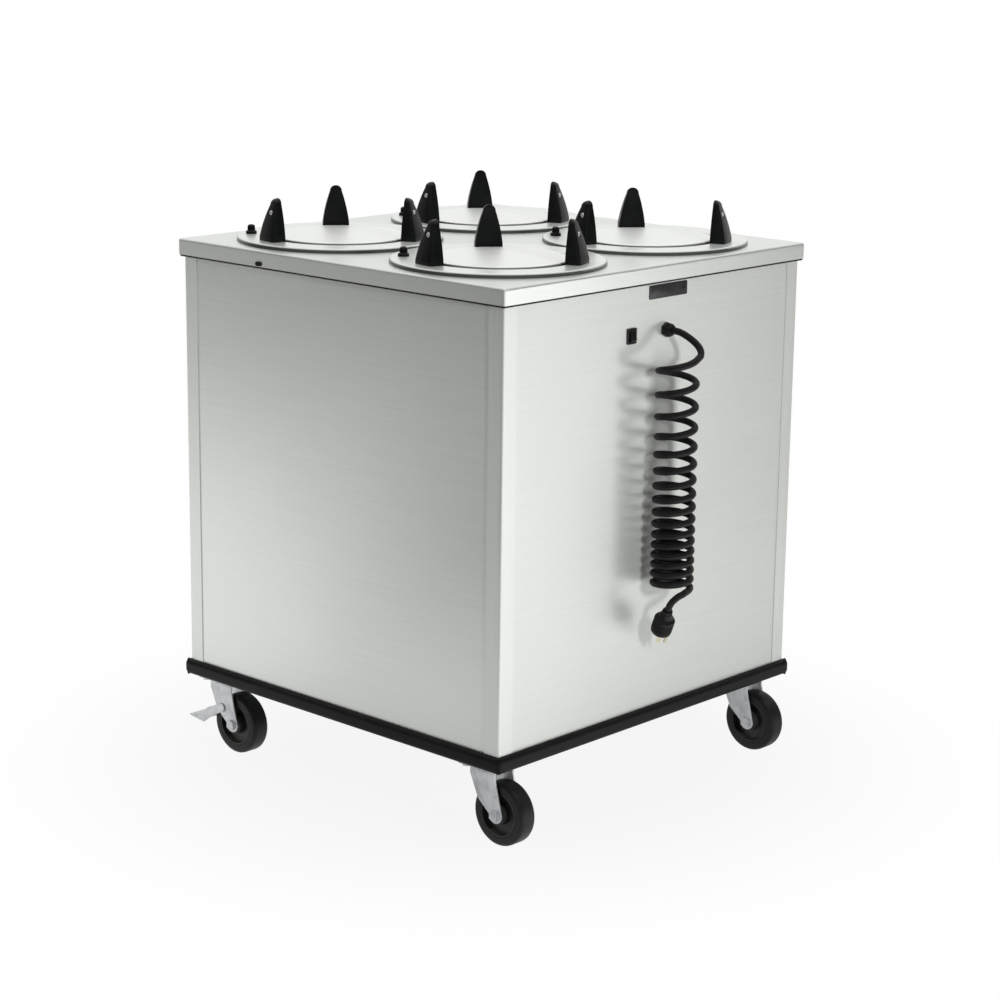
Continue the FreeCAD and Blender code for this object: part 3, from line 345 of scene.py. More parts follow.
def brushedStainless(name, colour, roughness, grain, metallic, cordShadow=None):
    # 304 sheet with a No. 4 belt finish: fine scratches that scatter part of the light and blur the rest.
    # The real scratches are about 0.1 mm wide, too fine to show, so they are drawn some 2 mm wide.
    values = {"Base Color": linear(colour), "Metallic": metallic, "Roughness": roughness}
    material, tree, shader = newMaterial(name, values)
    coord = addNode(tree, "TexCoord")
    stretch = addNode(tree, "Mapping", {"Scale": [1 / size for size in grain]}, {"Vector": coord.outputs["Object"]})
    streak = addNode(tree, "TexNoise", {"Scale": 1.0, "Detail": 3.0, "Roughness": 0.6}, {"Vector": stretch.outputs[0]})
    cloud = addNode(tree, "TexNoise", {"Scale": 1 / (250 * mm), "Detail": 2.0}, {"Vector": coord.outputs["Object"]})
    worn = addNode(tree, "Math", {1: 0.14, 2: roughness - 0.10}, {0: streak.outputs[0]}, operation="MULTIPLY_ADD")
    rough = addNode(tree, "Math", {1: 0.06}, {0: cloud.outputs[0], 2: worn.outputs[0]}, operation="MULTIPLY_ADD")
    tree.links.new(rough.outputs[0], shader.inputs["Roughness"])
    shaded = tuple(c * 0.94 for c in linear(colour)[:3]) + (1,)
    tint = addNode(tree, "ValToRGB", links={0: streak.outputs[0]}, stops=[(0.30, shaded), (0.70, linear(colour))])
    tree.links.new(tint.outputs[0], shader.inputs["Base Color"])
    relief = addNode(tree, "Bump", {"Strength": 0.05, "Distance": 0.4 * mm}, {"Height": streak.outputs[0]})
    tree.links.new(relief.outputs[0], shader.inputs["Normal"])
    if cordShadow:
        # painted shadow of the hanging cord: a soft dark patch mixed into the sheet's colour behind the coil
        split = addNode(tree, "SeparateXYZ", links={0: coord.outputs["Object"]})
        shadowMask = None
        for axis, edge in (("X", "left"), ("X", "right"), ("Z", "low"), ("Z", "high")):
            side = addNode(tree, "MapRange", {"From Min": cordShadow[edge][0], "From Max": cordShadow[edge][1]},
                           {"Value": split.outputs[axis]}, interpolation_type="SMOOTHSTEP")
            if shadowMask:
                side = addNode(tree, "Math", links={0: shadowMask.outputs[0], 1: side.outputs[0]}, operation="MULTIPLY")
            shadowMask = side
        share = addNode(tree, "Math", {1: cordShadow["share"]}, {0: shadowMask.outputs[0]}, operation="MULTIPLY")
        shadowPainted = addNode(tree, "Mix", {7: linear(cordShadow["colour"])}, {0: share.outputs[0], 6: tint.outputs[0]},
                          data_type="RGBA")
        tree.links.new(shadowPainted.outputs[2], shader.inputs["Base Color"])
    return material


def spunStainless(name, colour, edge, roughness, centre, metallic):
    # Discs and collars finished on a lathe: rings of fine scratches round the centre.
    # The real rings are under 0.2 mm apart, too fine to show, so they are drawn some 3 mm apart.
    values = {"Base Color": linear(colour), "Metallic": metallic, "Roughness": roughness}
    material, tree, shader = newMaterial(name, values)
    coord = addNode(tree, "TexCoord")
    centred = addNode(tree, "Mapping", {"Location": (-centre[0], -centre[1], 0)}, {"Vector": coord.outputs["Object"]})
    flat = addNode(tree, "VectorMath", {1: (1, 1, 0)}, {0: centred.outputs[0]}, operation="MULTIPLY")
    radius = addNode(tree, "VectorMath", links={0: flat.outputs[0]}, operation="LENGTH")
    rings = addNode(tree, "TexNoise", {"W": 0.0, "Scale": 1 / (3.125 * mm), "Detail": 2.0},
                    {"W": radius.outputs["Value"]}, noise_dimensions="1D")
    rough = addNode(tree, "Math", {1: 0.08, 2: roughness - 0.04}, {0: rings.outputs[0]}, operation="MULTIPLY_ADD")
    tree.links.new(rough.outputs[0], shader.inputs["Roughness"])
    relief = addNode(tree, "Bump", {"Strength": 0.012, "Distance": 0.3 * mm}, {"Height": rings.outputs[0]})
    tree.links.new(relief.outputs[0], shader.inputs["Normal"])
    # the upright walls of collars and discs are painted darker than their flat tops: painted shade for the dark lines
    # round them
    surface = addNode(tree, "NewGeometry")
    facing = addNode(tree, "SeparateXYZ", links={0: surface.outputs["Normal"]})
    level = addNode(tree, "Math", links={0: facing.outputs["Z"]}, operation="ABSOLUTE")
    tint = addNode(tree, "ValToRGB", links={0: level.outputs[0]}, stops=[(0.35, linear(edge)), (0.90, linear(colour))])
    tree.links.new(tint.outputs[0], shader.inputs["Base Color"])
    return material


def zincPlate(name, dark, light, roughness, metallic=1.0):
    # Electroplated pressed steel: pale blue-grey, in clouds some 17 mm across where the bath was uneven.
    material, tree, shader = newMaterial(name, {"Metallic": metallic, "Roughness": roughness})
    coord = addNode(tree, "TexCoord")
    cloud = addNode(tree, "TexNoise", {"Scale": 1 / (16.7 * mm), "Detail": 4.0, "Roughness": 0.6},
                    {"Vector": coord.outputs["Object"]})
    tint = addNode(tree, "ValToRGB", links={0: cloud.outputs[0]}, stops=[(0.32, linear(dark)), (0.68, linear(light))])
    tree.links.new(tint.outputs[0], shader.inputs["Base Color"])
    rough = addNode(tree, "Math", {1: 0.22, 2: roughness - 0.1}, {0: cloud.outputs[0]}, operation="MULTIPLY_ADD")
    tree.links.new(rough.outputs[0], shader.inputs["Roughness"])
    relief = addNode(tree, "Bump", {"Strength": 0.08, "Distance": 0.5 * mm}, {"Height": cloud.outputs[0]})
    tree.links.new(relief.outputs[0], shader.inputs["Normal"])
    return material


def woundWire(name, dark, light, pitch):
    # Close-wound spring: turns of drawn wire, one pitch apart, shaded dark where they touch.
    material, tree, shader = newMaterial(name, {"Metallic": 1.0, "Roughness": 0.32})
    coord = addNode(tree, "TexCoord")
    turns = addNode(tree, "TexWave", {"Scale": math.pi / (10 * pitch), "Distortion": 0.0},
                    {"Vector": coord.outputs["Object"]}, wave_type="BANDS", bands_direction="Z", wave_profile="SIN")
    tint = addNode(tree, "ValToRGB", links={0: turns.outputs[0]}, stops=[(0.05, linear(dark)), (0.55, linear(light))])
    tree.links.new(tint.outputs[0], shader.inputs["Base Color"])
    relief = addNode(tree, "Bump", {"Strength": 0.8, "Distance": pitch / 3}, {"Height": turns.outputs[0]})
    tree.links.new(relief.outputs[0], shader.inputs["Normal"])
    return material


def galvanisedSheet(name, dark, light):
    # Hot-dip galvanised sheet: zinc crystals some 11 mm across, each a little different in shade.
    material, tree, shader = newMaterial(name, {"Metallic": 0.55, "Roughness": 0.42})
    coord = addNode(tree, "TexCoord")
    spangle = addNode(tree, "TexVoronoi", {"Scale": 1 / (11.1 * mm)}, {"Vector": coord.outputs["Object"]})
    shade = addNode(tree, "SeparateColor", links={0: spangle.outputs["Color"]})
    tint = addNode(tree, "ValToRGB", links={0: shade.outputs[0]}, stops=[(0.0, linear(dark)), (1.0, linear(light))])
    tree.links.new(tint.outputs[0], shader.inputs["Base Color"])
    rough = addNode(tree, "Math", {1: 0.18, 2: 0.34}, {0: shade.outputs[1]}, operation="MULTIPLY_ADD")
    tree.links.new(rough.outputs[0], shader.inputs["Roughness"])
    return material


def mouldedPolymer(name, dark, light, roughness, grit, depth, specular=0.5):
    # Moulded plastic, vinyl or rubber: one dyed colour, a spark-eroded grit and faint handling marks 36 mm across.
    # The real grit is about 0.1 mm, too fine to show, so it is drawn 1 to 2 mm wide.
    material, tree, shader = newMaterial(name, {"Roughness": roughness, "Specular IOR Level": specular})
    coord = addNode(tree, "TexCoord")
    grains = addNode(tree, "TexNoise", {"Scale": 1 / grit, "Detail": 2.0}, {"Vector": coord.outputs["Object"]})
    marks = addNode(tree, "TexNoise", {"Scale": 1 / (35.7 * mm), "Detail": 5.0, "Roughness": 0.7},
                    {"Vector": coord.outputs["Object"]})
    tint = addNode(tree, "ValToRGB", links={0: marks.outputs[0]}, stops=[(0.38, linear(dark)), (0.72, linear(light))])
    tree.links.new(tint.outputs[0], shader.inputs["Base Color"])
    rough = addNode(tree, "Math", {1: 0.24, 2: roughness - 0.12}, {0: marks.outputs[0]}, operation="MULTIPLY_ADD")
    tree.links.new(rough.outputs[0], shader.inputs["Roughness"])
    relief = addNode(tree, "Bump", {"Strength": 0.25, "Distance": depth}, {"Height": grains.outputs[0]})
    tree.links.new(relief.outputs[0], shader.inputs["Normal"])
    return material


# edges of the painted shadow behind the cord, each from where it starts to where it is full
cordShadowSet = {"left": (-0.030, 0.000), "right": (0.062, 0.034), "low": (0.325, 0.40), "high": (0.765, 0.66),
          "share": 0.62, "colour": "#2A2A29"}
grainWide, grainLong = 2.38 * mm, 200 * mm
# the front sheet carries the painted shadow of the cord behind the coil
frontSteel = brushedStainless("stainlessFrontBrushed", "#DADDD8", 0.41, (grainLong, grainLong, grainWide), 0.45, cordShadowSet)
panelSteel = brushedStainless("stainlessPanelBrushed", "#DADDD8", 0.34, (grainLong, grainLong, grainWide), 0.5)
postSteel = brushedStainless("stainlessPostBrushed", "#DCDFDA", 0.40, (grainWide, grainWide, grainLong), 0.5)
deckSteel = brushedStainless("stainlessDeckBrushed", "#E2E5E0", 0.36, (167 * mm, grainWide, grainWide), 0.65)
# the second colour of each spun finish is the painted shade on the upright walls
ringSteel = {n: spunStainless("stainlessCollarSpun%d" % n, "#E4E7E2", "#5A5D58", 0.34, centre, 0.6)
             for n, centre in stackPlaces.items()}
discSteel = {n: spunStainless("stainlessDiscSpun%d" % n, "#EFF1ED", "#8A8D88", 0.42, centre, 0.5)
             for n, centre in stackPlaces.items()}
zinc = zincPlate("steelZincPlated", "#BABCBF", "#DEE0E2", 0.34, 0.55)
galvanised = galvanisedSheet("steelGalvanised", "#A9ADAF", "#C6C9CA")
springWire = woundWire("springSteelWound", "#2C2D2F", "#A2A4A6", 2.4 * mm)
heaterSheath = zincPlate("heaterSheathOxidised", "#4A4440", "#6C6660", 0.5)
nylon = mouldedPolymer("nylonMouldedBlack", "#0A0B0C", "#131415", 0.36, 1.11 * mm, 0.2 * mm, 0.22)
knobPlastic = mouldedPolymer("phenolicKnobBlack", "#0B0B0D", "#141416", 0.30, 1.11 * mm, 0.1 * mm, 0.25)
vinyl = mouldedPolymer("vinylExtrudedBlack", "#0B0B0C", "#151517", 0.48, 1.67 * mm, 0.3 * mm, 0.16)
# dark grey for the band under the deck's rim: a painted shadow line
rimShadowGrey = mouldedPolymer("paintedRimShadowGrey", "#2A2B2A", "#3A3B3A", 0.6, 1.67 * mm, 0.3 * mm, 0.2)
tyreRubber = mouldedPolymer("rubberTyreBlack", "#101011", "#202021", 0.46, 2.0 * mm, 0.3 * mm, 0.3)
corePlastic = mouldedPolymer("polypropyleneCoreBlack", "#262625", "#3A3A38", 0.42, 1.43 * mm, 0.2 * mm, 0.35)
cordJacket = mouldedPolymer("rubberCordJacket", "#0A0A0B", "#141414", 0.5, 1.43 * mm, 0.2 * mm, 0.25)
plugRubber = mouldedPolymer("rubberPlugMoulded", "#0C0C0D", "#171718", 0.46, 1.43 * mm, 0.2 * mm, 0.25)
switchPlastic = mouldedPolymer("nylonSwitchBlack", "#0B0B0C", "#131314", 0.3, 1.11 * mm, 0.1 * mm, 0.3)
phenolic = mouldedPolymer("phenolicBrown", "#3A2A20", "#4A382B", 0.5, 2.0 * mm, 0.3 * mm)
plateBlack = mouldedPolymer("aluminiumPlateBlack", "#1A1A1A", "#262626", 0.4, 1.25 * mm, 0.1 * mm)
brass = zincPlate("brassNickelPlated", "#C9C2A8", "#DDD8C6", 0.26)

dressing = {
    "top_deck": deckSteel, "rim_plug": vinyl, "front_panel": frontSteel, "right_panel": panelSteel,
    "rear_panel": panelSteel, "left_panel": panelSteel, "corner_posts": postSteel, "name_plate": plateBlack,
    "base_frame": galvanised, "floor_pan": galvanised, "perimeter_bumper": vinyl, "heater_elements": heaterSheath,
    "heater_clips": galvanised, "junction_box": galvanised, "thermostat": phenolic, "switch_bezel": switchPlastic,
    "switch_rocker": switchPlastic, "flange_knobs": knobPlastic, "caster_plates": zinc, "caster_bolts": zinc,
    "cord_gland": plugRubber, "plug_body": plugRubber, "plug_blades": brass,
    "brake_pedal_3": zinc, "brake_pedal_4": zinc,
}
for n in stackPlaces:
    dressing.update({"dispenser_flange_%d" % n: ringSteel[n], "plate_carrier_%d" % n: discSteel[n],
                     "dispenser_rails_%d" % n: galvanised, "carrier_springs_%d" % n: springWire,
                     "plate_guides_%d" % n: nylon, "caster_fork_%d" % n: zinc, "caster_axle_%d" % n: zinc,
                     "caster_wheel_%d" % n: tyreRubber})
for nodeName, material in dressing.items():
    dress(nodeName, material)
print("materials on the frame:", len(dressing))


# cross-head screws: a domed head with a cross in it, in shares of its radius and height

headShares = {"flat": 0.7, "dome": 0.25, "edge": 0.12,
              "slotLong": 1.15, "slotWide": 0.24, "slotTall": 0.9, "slotUp": 1.25}


def makeScrew(name, radius, head, finish, s=headShares):
    # stands on z = 0
    screw = startPiece(name, bpy.ops.mesh.primitive_cylinder_add, vertices=20, radius=radius, depth=head,
                       location=(0, 0, head / 2))
    pick(lambda co, normal: normal.z > 0.9)
    bpy.ops.mesh.inset(thickness=radius * (1 - s["flat"]))
    bpy.ops.transform.translate(value=(0, 0, head * s["dome"]))
    pick(lambda co, along: co.z > head * 0.9 and abs(along.z) < 0.1, "edges")
    bpy.ops.mesh.bevel(offset=radius * s["edge"], segments=2)
    endPiece(screw, finish, 40)
    for angle in (0, math.pi / 2):
        blade = startPiece("slotTool", bpy.ops.mesh.primitive_cube_add, size=1, location=(0, 0, head * s["slotUp"]),
                           rotation=(0, 0, angle),
                           scale=(radius * s["slotLong"], radius * s["slotWide"], head * s["slotTall"]))
        cutAway(screw, blade)
    return endPiece(screw, None, 40)


# plate guides: moulded uprights, each with a screw in a round recess on its back

guideSet = {
    "inner": 119 * mm, "depth": 25 * mm, "width": 44 * mm, "height": 68 * mm, "foot": 6 * mm, "low": 0.882,
    "tipDepth": 10 * mm, "tipWidth": 20 * mm, "crown": 58 * mm, "belly": 37.4 * mm, "bellyOut": 1.3 * mm,
    "cornerOut": 5 * mm, "cornerIn": 2 * mm, "angles": (50, 170, 290),
    "footShare": 0.9, "riseShares": (0, 0.16, 0.32, 0.48, 0.64, 0.78, 0.9, 1),
    "domeShares": (0.3, 0.55, 0.75, 0.88, 0.96, 0.993),
    "screwUp": 44.9 * mm, "screwFloor": 12.2 * mm, "screwRadius": 4.1 * mm, "screwHead": 2.4 * mm,
    "recessRadius": 4.7 * mm, "recessLong": 30 * mm,
}


def between(z, low, middle, high):
    # the value at z of a smooth line through three (height, value) pairs
    total = 0
    for a, b, c in ((low, middle, high), (middle, low, high), (high, low, middle)):
        total += a[1] * (z - b[0]) * (z - c[0]) / ((a[0] - b[0]) * (a[0] - c[0]))
    return total


def guideRing(s, z):
    # depth and half width of the guide at height z above the collar
    foot, crown, tip = s["foot"], s["crown"], s["height"]
    if z <= foot:
        return s["depth"], s["width"] / 2
    if z <= crown:
        share = (s["belly"] - foot) / (crown - foot)
        midDepth = s["depth"] + (s["tipDepth"] - s["depth"]) * share + s["bellyOut"]
        midHalf = s["width"] / 2 + (s["tipWidth"] / 2 - s["width"] / 2) * share + s["bellyOut"]
        depth = between(z, (foot, s["depth"]), (s["belly"], midDepth), (crown, s["tipDepth"]))
        half = between(z, (foot, s["width"] / 2), (s["belly"], midHalf), (crown, s["tipWidth"] / 2))
        return depth, half
    rise = tip - crown
    crownRadius = ((s["tipWidth"] / 2) ** 2 + rise ** 2) / (2 * rise)
    depth = math.sqrt(max(0, s["tipDepth"] ** 2 - (s["tipDepth"] * (z - crown) / rise) ** 2))
    half = math.sqrt(max(0, crownRadius ** 2 - (z - (tip - crownRadius)) ** 2))
    return depth, half


def makeGuide(s):
    low = s["low"]
    middle = (s["inner"] + s["depth"] / 2, 0, low)
    guide = startPiece("guide", bpy.ops.mesh.primitive_plane_add, size=1, location=middle)
    bpy.ops.transform.resize(value=(s["depth"], s["width"], 1), center_override=middle)
    for edge, corner in ((s["inner"] + s["depth"], s["cornerOut"]), (s["inner"], s["cornerIn"])):
        pick(lambda co, normal: abs(co.x - edge) < 0.1 * mm, "verts")
        bpy.ops.mesh.bevel(offset=corner, segments=4, affect="VERTICES")
    bpy.ops.mesh.select_all(action="SELECT")
    heights = [s["foot"] * s["footShare"]]
    heights += [s["foot"] + (s["crown"] - s["foot"]) * share for share in s["riseShares"]]
    heights += [s["crown"] + (s["height"] - s["crown"]) * share for share in s["domeShares"]]
    before, last = guideRing(s, 0), 0
    for z in heights:
        depth, half = guideRing(s, z)
        bpy.ops.mesh.extrude_region_move(TRANSFORM_OT_translate={"value": (0, 0, z - last)})
        bpy.ops.transform.resize(value=(depth / before[0], half / before[1], 1),
                                 center_override=(s["inner"], 0, low + z))
        before, last = (depth, half), z
    bpy.ops.mesh.select_all(action="SELECT")
    bpy.ops.mesh.normals_make_consistent(inside=False)
    endPiece(guide, nylon)
    seat = Vector((s["inner"] + s["screwFloor"], 0, low + s["screwUp"]))
    tool = startPiece("recessTool", bpy.ops.mesh.primitive_cylinder_add, vertices=24, radius=s["recessRadius"],
                      depth=s["recessLong"], location=seat + Vector((s["recessLong"] / 2, 0, 0)),
                      rotation=(0, math.pi / 2, 0))
    cutAway(guide, tool)
    endPiece(guide, None, 32)
    screw = makeScrew("guideScrew", s["screwRadius"], s["screwHead"], zinc)
    screw.data.transform(Matrix.Translation(seat) @ Matrix.Rotation(math.pi / 2, 4, "Y"))
    return joinPieces([guide, screw], "guide")


def makeGuides(s):
    first = makeGuide(s)
    for n, (x, y) in stackPlaces.items():
        turns = [Matrix.Rotation(math.radians(angle), 4, "Z") for angle in s["angles"]]
        copies = [copyPiece(first, "guideCopy", Matrix.Translation((x, y, 0)) @ turn) for turn in turns]
        place(joinPieces(copies, "plateGuides%d" % n), "cabinet", "guide_plastic", "plate_guides_%d" % n)
    bpy.data.objects.remove(first)


makeGuides(guideSet)
print("plate guides made")


# thumb nuts on the collars: a skirt, a ribbed waist and a rounded top

knobSet = {
    "radius": 9 * mm, "skirt": 4 * mm, "skirtEdge": 0.8 * mm, "height": 15 * mm,
    "waist": 6.3 * mm, "waistFrom": 0.15, "waistTo": 0.65,  # shares of the rise above the skirt
    "top": ((0.16, 0.93), (0.11, 0.80), (0.08, 0.55)),  # (share of that rise, what the width is scaled by)
    "ribs": 20, "ribOut": 0.7 * mm, "low": 0.882, "circle": 147 * mm, "angle": 130,
}


def makeKnobs(s):
    knob = startPiece("knob", bpy.ops.mesh.primitive_cylinder_add, vertices=s["ribs"] * 2, radius=s["radius"],
                      depth=s["skirt"], location=(0, 0, s["skirt"] / 2))
    rise = s["height"] - s["skirt"]
    pick(lambda co, normal: normal.z > 0.9)
    bpy.ops.mesh.inset(thickness=s["radius"] - s["waist"])
    bpy.ops.transform.translate(value=(0, 0, rise * s["waistFrom"]))
    for up, shrink in ((s["waistTo"] - s["waistFrom"], 1), *s["top"]):
        bpy.ops.mesh.extrude_region_move(TRANSFORM_OT_translate={"value": (0, 0, rise * up)})
        bpy.ops.transform.resize(value=(shrink, shrink, 1))
    waistLow, waistHigh = (s["skirt"] + rise * s[end] for end in ("waistFrom", "waistTo"))
    step = math.pi / s["ribs"]
    pick(lambda co, normal: waistLow < co.z < waistHigh and abs(normal.z) < 0.1
         and int(round(math.atan2(co.y, co.x) / step - 0.5)) % 2 == 0)
    bpy.ops.mesh.extrude_faces_move(TRANSFORM_OT_shrink_fatten={"value": -s["ribOut"]})
    pick(lambda co, along: abs(co.z - s["skirt"]) < 0.05 * mm and abs(along.z) < 0.1
         and co.xy.length > s["waist"] * 1.1, "edges")
    bpy.ops.mesh.bevel(offset=s["skirtEdge"], segments=2)
    bpy.ops.mesh.select_all(action="SELECT")
    bpy.ops.mesh.normals_make_consistent(inside=False)
    endPiece(knob, knobPlastic, 40)
    angle = math.radians(s["angle"])
    out = Vector((math.cos(angle), math.sin(angle), 0)) * s["circle"]
    copies = [copyPiece(knob, "knobCopy", Matrix.Translation(Vector((x, y, s["low"])) + out))
              for x, y in stackPlaces.values()]
    bpy.data.objects.remove(knob)
    place(joinPieces(copies, "thumbNuts"), "cabinet", "knob_plastic", "flange_knobs")


makeKnobs(knobSet)
print("thumb nuts made")


# caster wheels: solid rubber tyre on a moulded core, with a hub that meets the fork

wheelSet = {
    "radius": 51 * mm, "width": 32 * mm, "shoulder": 6 * mm, "tyreDepth": 15 * mm, "seam": 0.9 * mm, "trail": 28 * mm,
    "lip": 2.2 * mm, "lipSlope": 1.6 * mm, "web": 14 * mm,
    "hubRadius": 15 * mm, "hubLength": 37 * mm, "hubRoot": 2.4 * mm, "hubSlope": 1.4 * mm, "hubEdge": 1.0 * mm,
}


def makeWheel(s):
    wheel = startPiece("wheel", bpy.ops.mesh.primitive_cylinder_add, vertices=72, radius=s["radius"], depth=s["width"],
                       location=(0, 0, 0), rotation=(0, math.pi / 2, 0))
    half = s["width"] / 2
    pick(lambda co, along: abs(abs(co.x) - half) < 0.1 * mm and abs(along.x) < 0.1, "edges")
    bpy.ops.mesh.bevel(offset=s["shoulder"], segments=5, profile=0.5)
    core = s["radius"] - s["tyreDepth"]
    # each step insets a side and then moves it in or out: tyre wall, groove, lip, web and hub
    steps = ((s["tyreDepth"] - s["shoulder"] - s["seam"], 0), (s["seam"] / 2, -s["seam"]), (s["seam"] / 2, s["seam"]),
             (s["lip"], 0), (s["lipSlope"], s["web"] / 2 - half),
             (core - s["lip"] - s["lipSlope"] - s["hubRadius"] - s["hubRoot"], 0),
             (s["hubSlope"], s["hubLength"] / 2 - s["web"] / 2), (s["hubEdge"], 0))
    for side in (1, -1):
        pick(lambda co, normal: normal.x * side > 0.99 and abs(co.x - side * half) < 0.05 * mm)
        for inset, out in steps:
            bpy.ops.mesh.inset(thickness=inset)
            bpy.ops.transform.translate(value=(side * out, 0, 0))
    pick(lambda co, normal: math.hypot(co.y, co.z) < core - 0.2 * mm)
    coreFaces = [f.index for f in bmesh.from_edit_mesh(wheel.data).faces if f.select]
    endPiece(wheel, tyreRubber, 30)
    wheel.data.materials.append(corePlastic)
    for index in coreFaces:
        wheel.data.polygons[index].material_index = 1
    return wheel


def makeWheels(s):
    first = makeWheel(s)
    for n, (x, y) in casterPlaces.items():
        twin = copyPiece(first, "casterWheel%d" % n, Matrix.Translation((x, y - s["trail"], s["radius"])))
        place(twin, "wheel_%d" % n, "wheel_rubber", "caster_wheel_%d" % n)
    bpy.data.objects.remove(first)


makeWheels(wheelSet)
print("wheels made")


# pressed and folded pieces with their edges eased, from the frame's own shapes: name, body, slot and width of edge

easedSet = {"caster_fork_%d" % n: ("casterFork%d" % n, "swivel_%d" % n, "zinc_plate", 0.8 * mm) for n in casterPlaces}
easedSet.update({"brake_pedal_%d" % n: ("brakePedal%d" % n, "pedal_%d" % n, "zinc_plate", 0.7 * mm) for n in (3, 4)})
easedSet.update({
    "switch_bezel": ("switchBezel", "cabinet", "switch_plastic", 0.5 * mm),
    "switch_rocker": ("switchRocker", "rocker", "switch_plastic", 0.4 * mm),
    "name_plate": ("blankPlate", "cabinet", "label_aluminium", 0.4 * mm),
    "caster_plates": ("casterPlates", "cabinet", "zinc_plate", 0.6 * mm),
})


def makeEased(s):
    for nodeName, (name, body, slot, width) in s.items():
        piece = copyPiece(nodes[nodeName], name, Matrix.Identity(4))
        piece.parent = None
        for key in list(piece.keys()):
            del piece[key]
        selectOnly(piece)
        bpy.ops.object.mode_set(mode="EDIT")
        bpy.ops.mesh.select_all(action="SELECT")
        bpy.ops.mesh.remove_doubles(threshold=0.01 * mm)
        bpy.ops.mesh.dissolve_limited(angle_limit=math.radians(2))
        bpy.ops.object.mode_set(mode="OBJECT")
        applyModifier(piece, "BEVEL", width=width, segments=2, limit_method="ANGLE", angle_limit=math.radians(40),
                      use_clamp_overlap=True)
        endPiece(piece, None, 40)
        place(piece, body, slot, nodeName)


makeEased(easedSet)
print("eased pieces made:", len(easedSet))


# screws on the walls: two hold the blank plate, ten the rear panel that comes off for service

screwSet = {
    "plateScrews": {"on": "name_plate", "side": -1, "radius": 2.0 * mm, "head": 1.0 * mm, "finish": plateBlack,
                    "across": (0.020 - 0.0405, 0.020 + 0.0405), "heights": (0.832,)},
    "panelScrews": {"on": "rear_panel", "side": 1, "radius": 4.0 * mm, "head": 2.2 * mm, "finish": zinc,
                    "across": (-0.300, 0.300), "heights": (0.185, 0.34, 0.50, 0.66, 0.82)},
}


def makeScrews(name, s):
    low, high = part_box(s["on"])
    y = high[1] if s["side"] > 0 else low[1]
    turn = Matrix.Rotation(-s["side"] * math.pi / 2, 4, "X")
    first = makeScrew("screw", s["radius"], s["head"], s["finish"])
    copies = [copyPiece(first, "screwCopy", Matrix.Translation((x, y, z)) @ turn)
              for x in s["across"] for z in s["heights"]]
    bpy.data.objects.remove(first)
    place(joinPieces(copies, name), "cabinet", "zinc_plate")


for name, settings in screwSet.items():
    makeScrews(name, settings)
print("screws made")


# bands round the cabinet: the half-round vinyl bumper at the base, and a thin dark grey band under the deck's rim that
# is a painted shadow line where the rim overhangs the panels

bandSet = {
    "perimeterBumper": {"half": 367 * mm, "back": 358 * mm, "low": 0.130, "high": 0.156, "corner": 9 * mm,
                        "edge": 8.4 * mm, "segments": 7, "finish": vinyl, "replaced": ["perimeter_bumper"]},
    # a dark grey band under the rim, standing in for the shadow of its overhang
    "rimShadowBand": {"half": 363.4 * mm, "back": 358.4 * mm, "low": 0.8457, "high": 0.8488, "corner": 3 * mm,
                "edge": 1.2 * mm, "segments": 3, "finish": rimShadowGrey, "replaced": []},
}


def makeBand(name, s):
    side, tall = s["half"] * 2, s["high"] - s["low"]
    band = startPiece(name, bpy.ops.mesh.primitive_cube_add, size=1, location=(0, 0, (s["low"] + s["high"]) / 2),
                      scale=(side, side, tall))
    pick(lambda co, normal: abs(normal.z) > 0.9)
    bpy.ops.mesh.delete(type="ONLY_FACE")
    pick(lambda co, along: abs(along.z) > 0.9, "edges")
    bpy.ops.mesh.bevel(offset=s["corner"], segments=6)
    bpy.ops.object.mode_set(mode="OBJECT")
    applyModifier(band, "SOLIDIFY", thickness=s["half"] - s["back"], offset=-1, use_even_offset=True)
    bpy.ops.object.mode_set(mode="EDIT")
    middle = (s["half"] + s["back"]) / 2
    pick(lambda co, along: min(abs(co.z - s["low"]), abs(co.z - s["high"])) < 0.05 * mm and abs(along.z) < 0.1
         and max(abs(co.x), abs(co.y)) > middle, "edges")
    bpy.ops.mesh.bevel(offset=s["edge"], segments=s["segments"])
    endPiece(band, s["finish"])
    place(band, "cabinet", "vinyl_black", *s["replaced"])


for name, settings in bandSet.items():
    makeBand(name, settings)
print("bands made:", len(bandSet))


# plug: slotted boot, shoulder and a round body with finger ribs; its rings are (height, radius)

plugSet = {
    "at": (-0.034, -0.418, 0.335), "from": (-0.036, -0.423, 0.345), "sides": 36, "start": 8.0 * mm,
    "boot": ((2.4 * mm, 8.5 * mm), (4.8 * mm, 9.0 * mm), (7.2 * mm, 9.5 * mm), (9.6 * mm, 10.0 * mm)),
    "shoulder": ((12 * mm, 10.5 * mm), (14 * mm, 11.6 * mm), (16 * mm, 14.0 * mm), (17.2 * mm, 15.9 * mm)),
    "body": ((19 * mm, 17.0 * mm), (40 * mm, 17.0 * mm)),
    "end": ((44.2 * mm, 16.4 * mm), (45.6 * mm, 15.2 * mm), (46 * mm, 14.0 * mm)),
    "slotEdge": 0.5 * mm, "slotDeep": 1.1 * mm,
    "ribFrom": 21 * mm, "ribTo": 38 * mm, "ribs": 5, "ribDeep": 0.9 * mm,
    "ribShares": ((0.0, 0), (0.25, 1), (0.55, 1), (0.8, 0)),
}


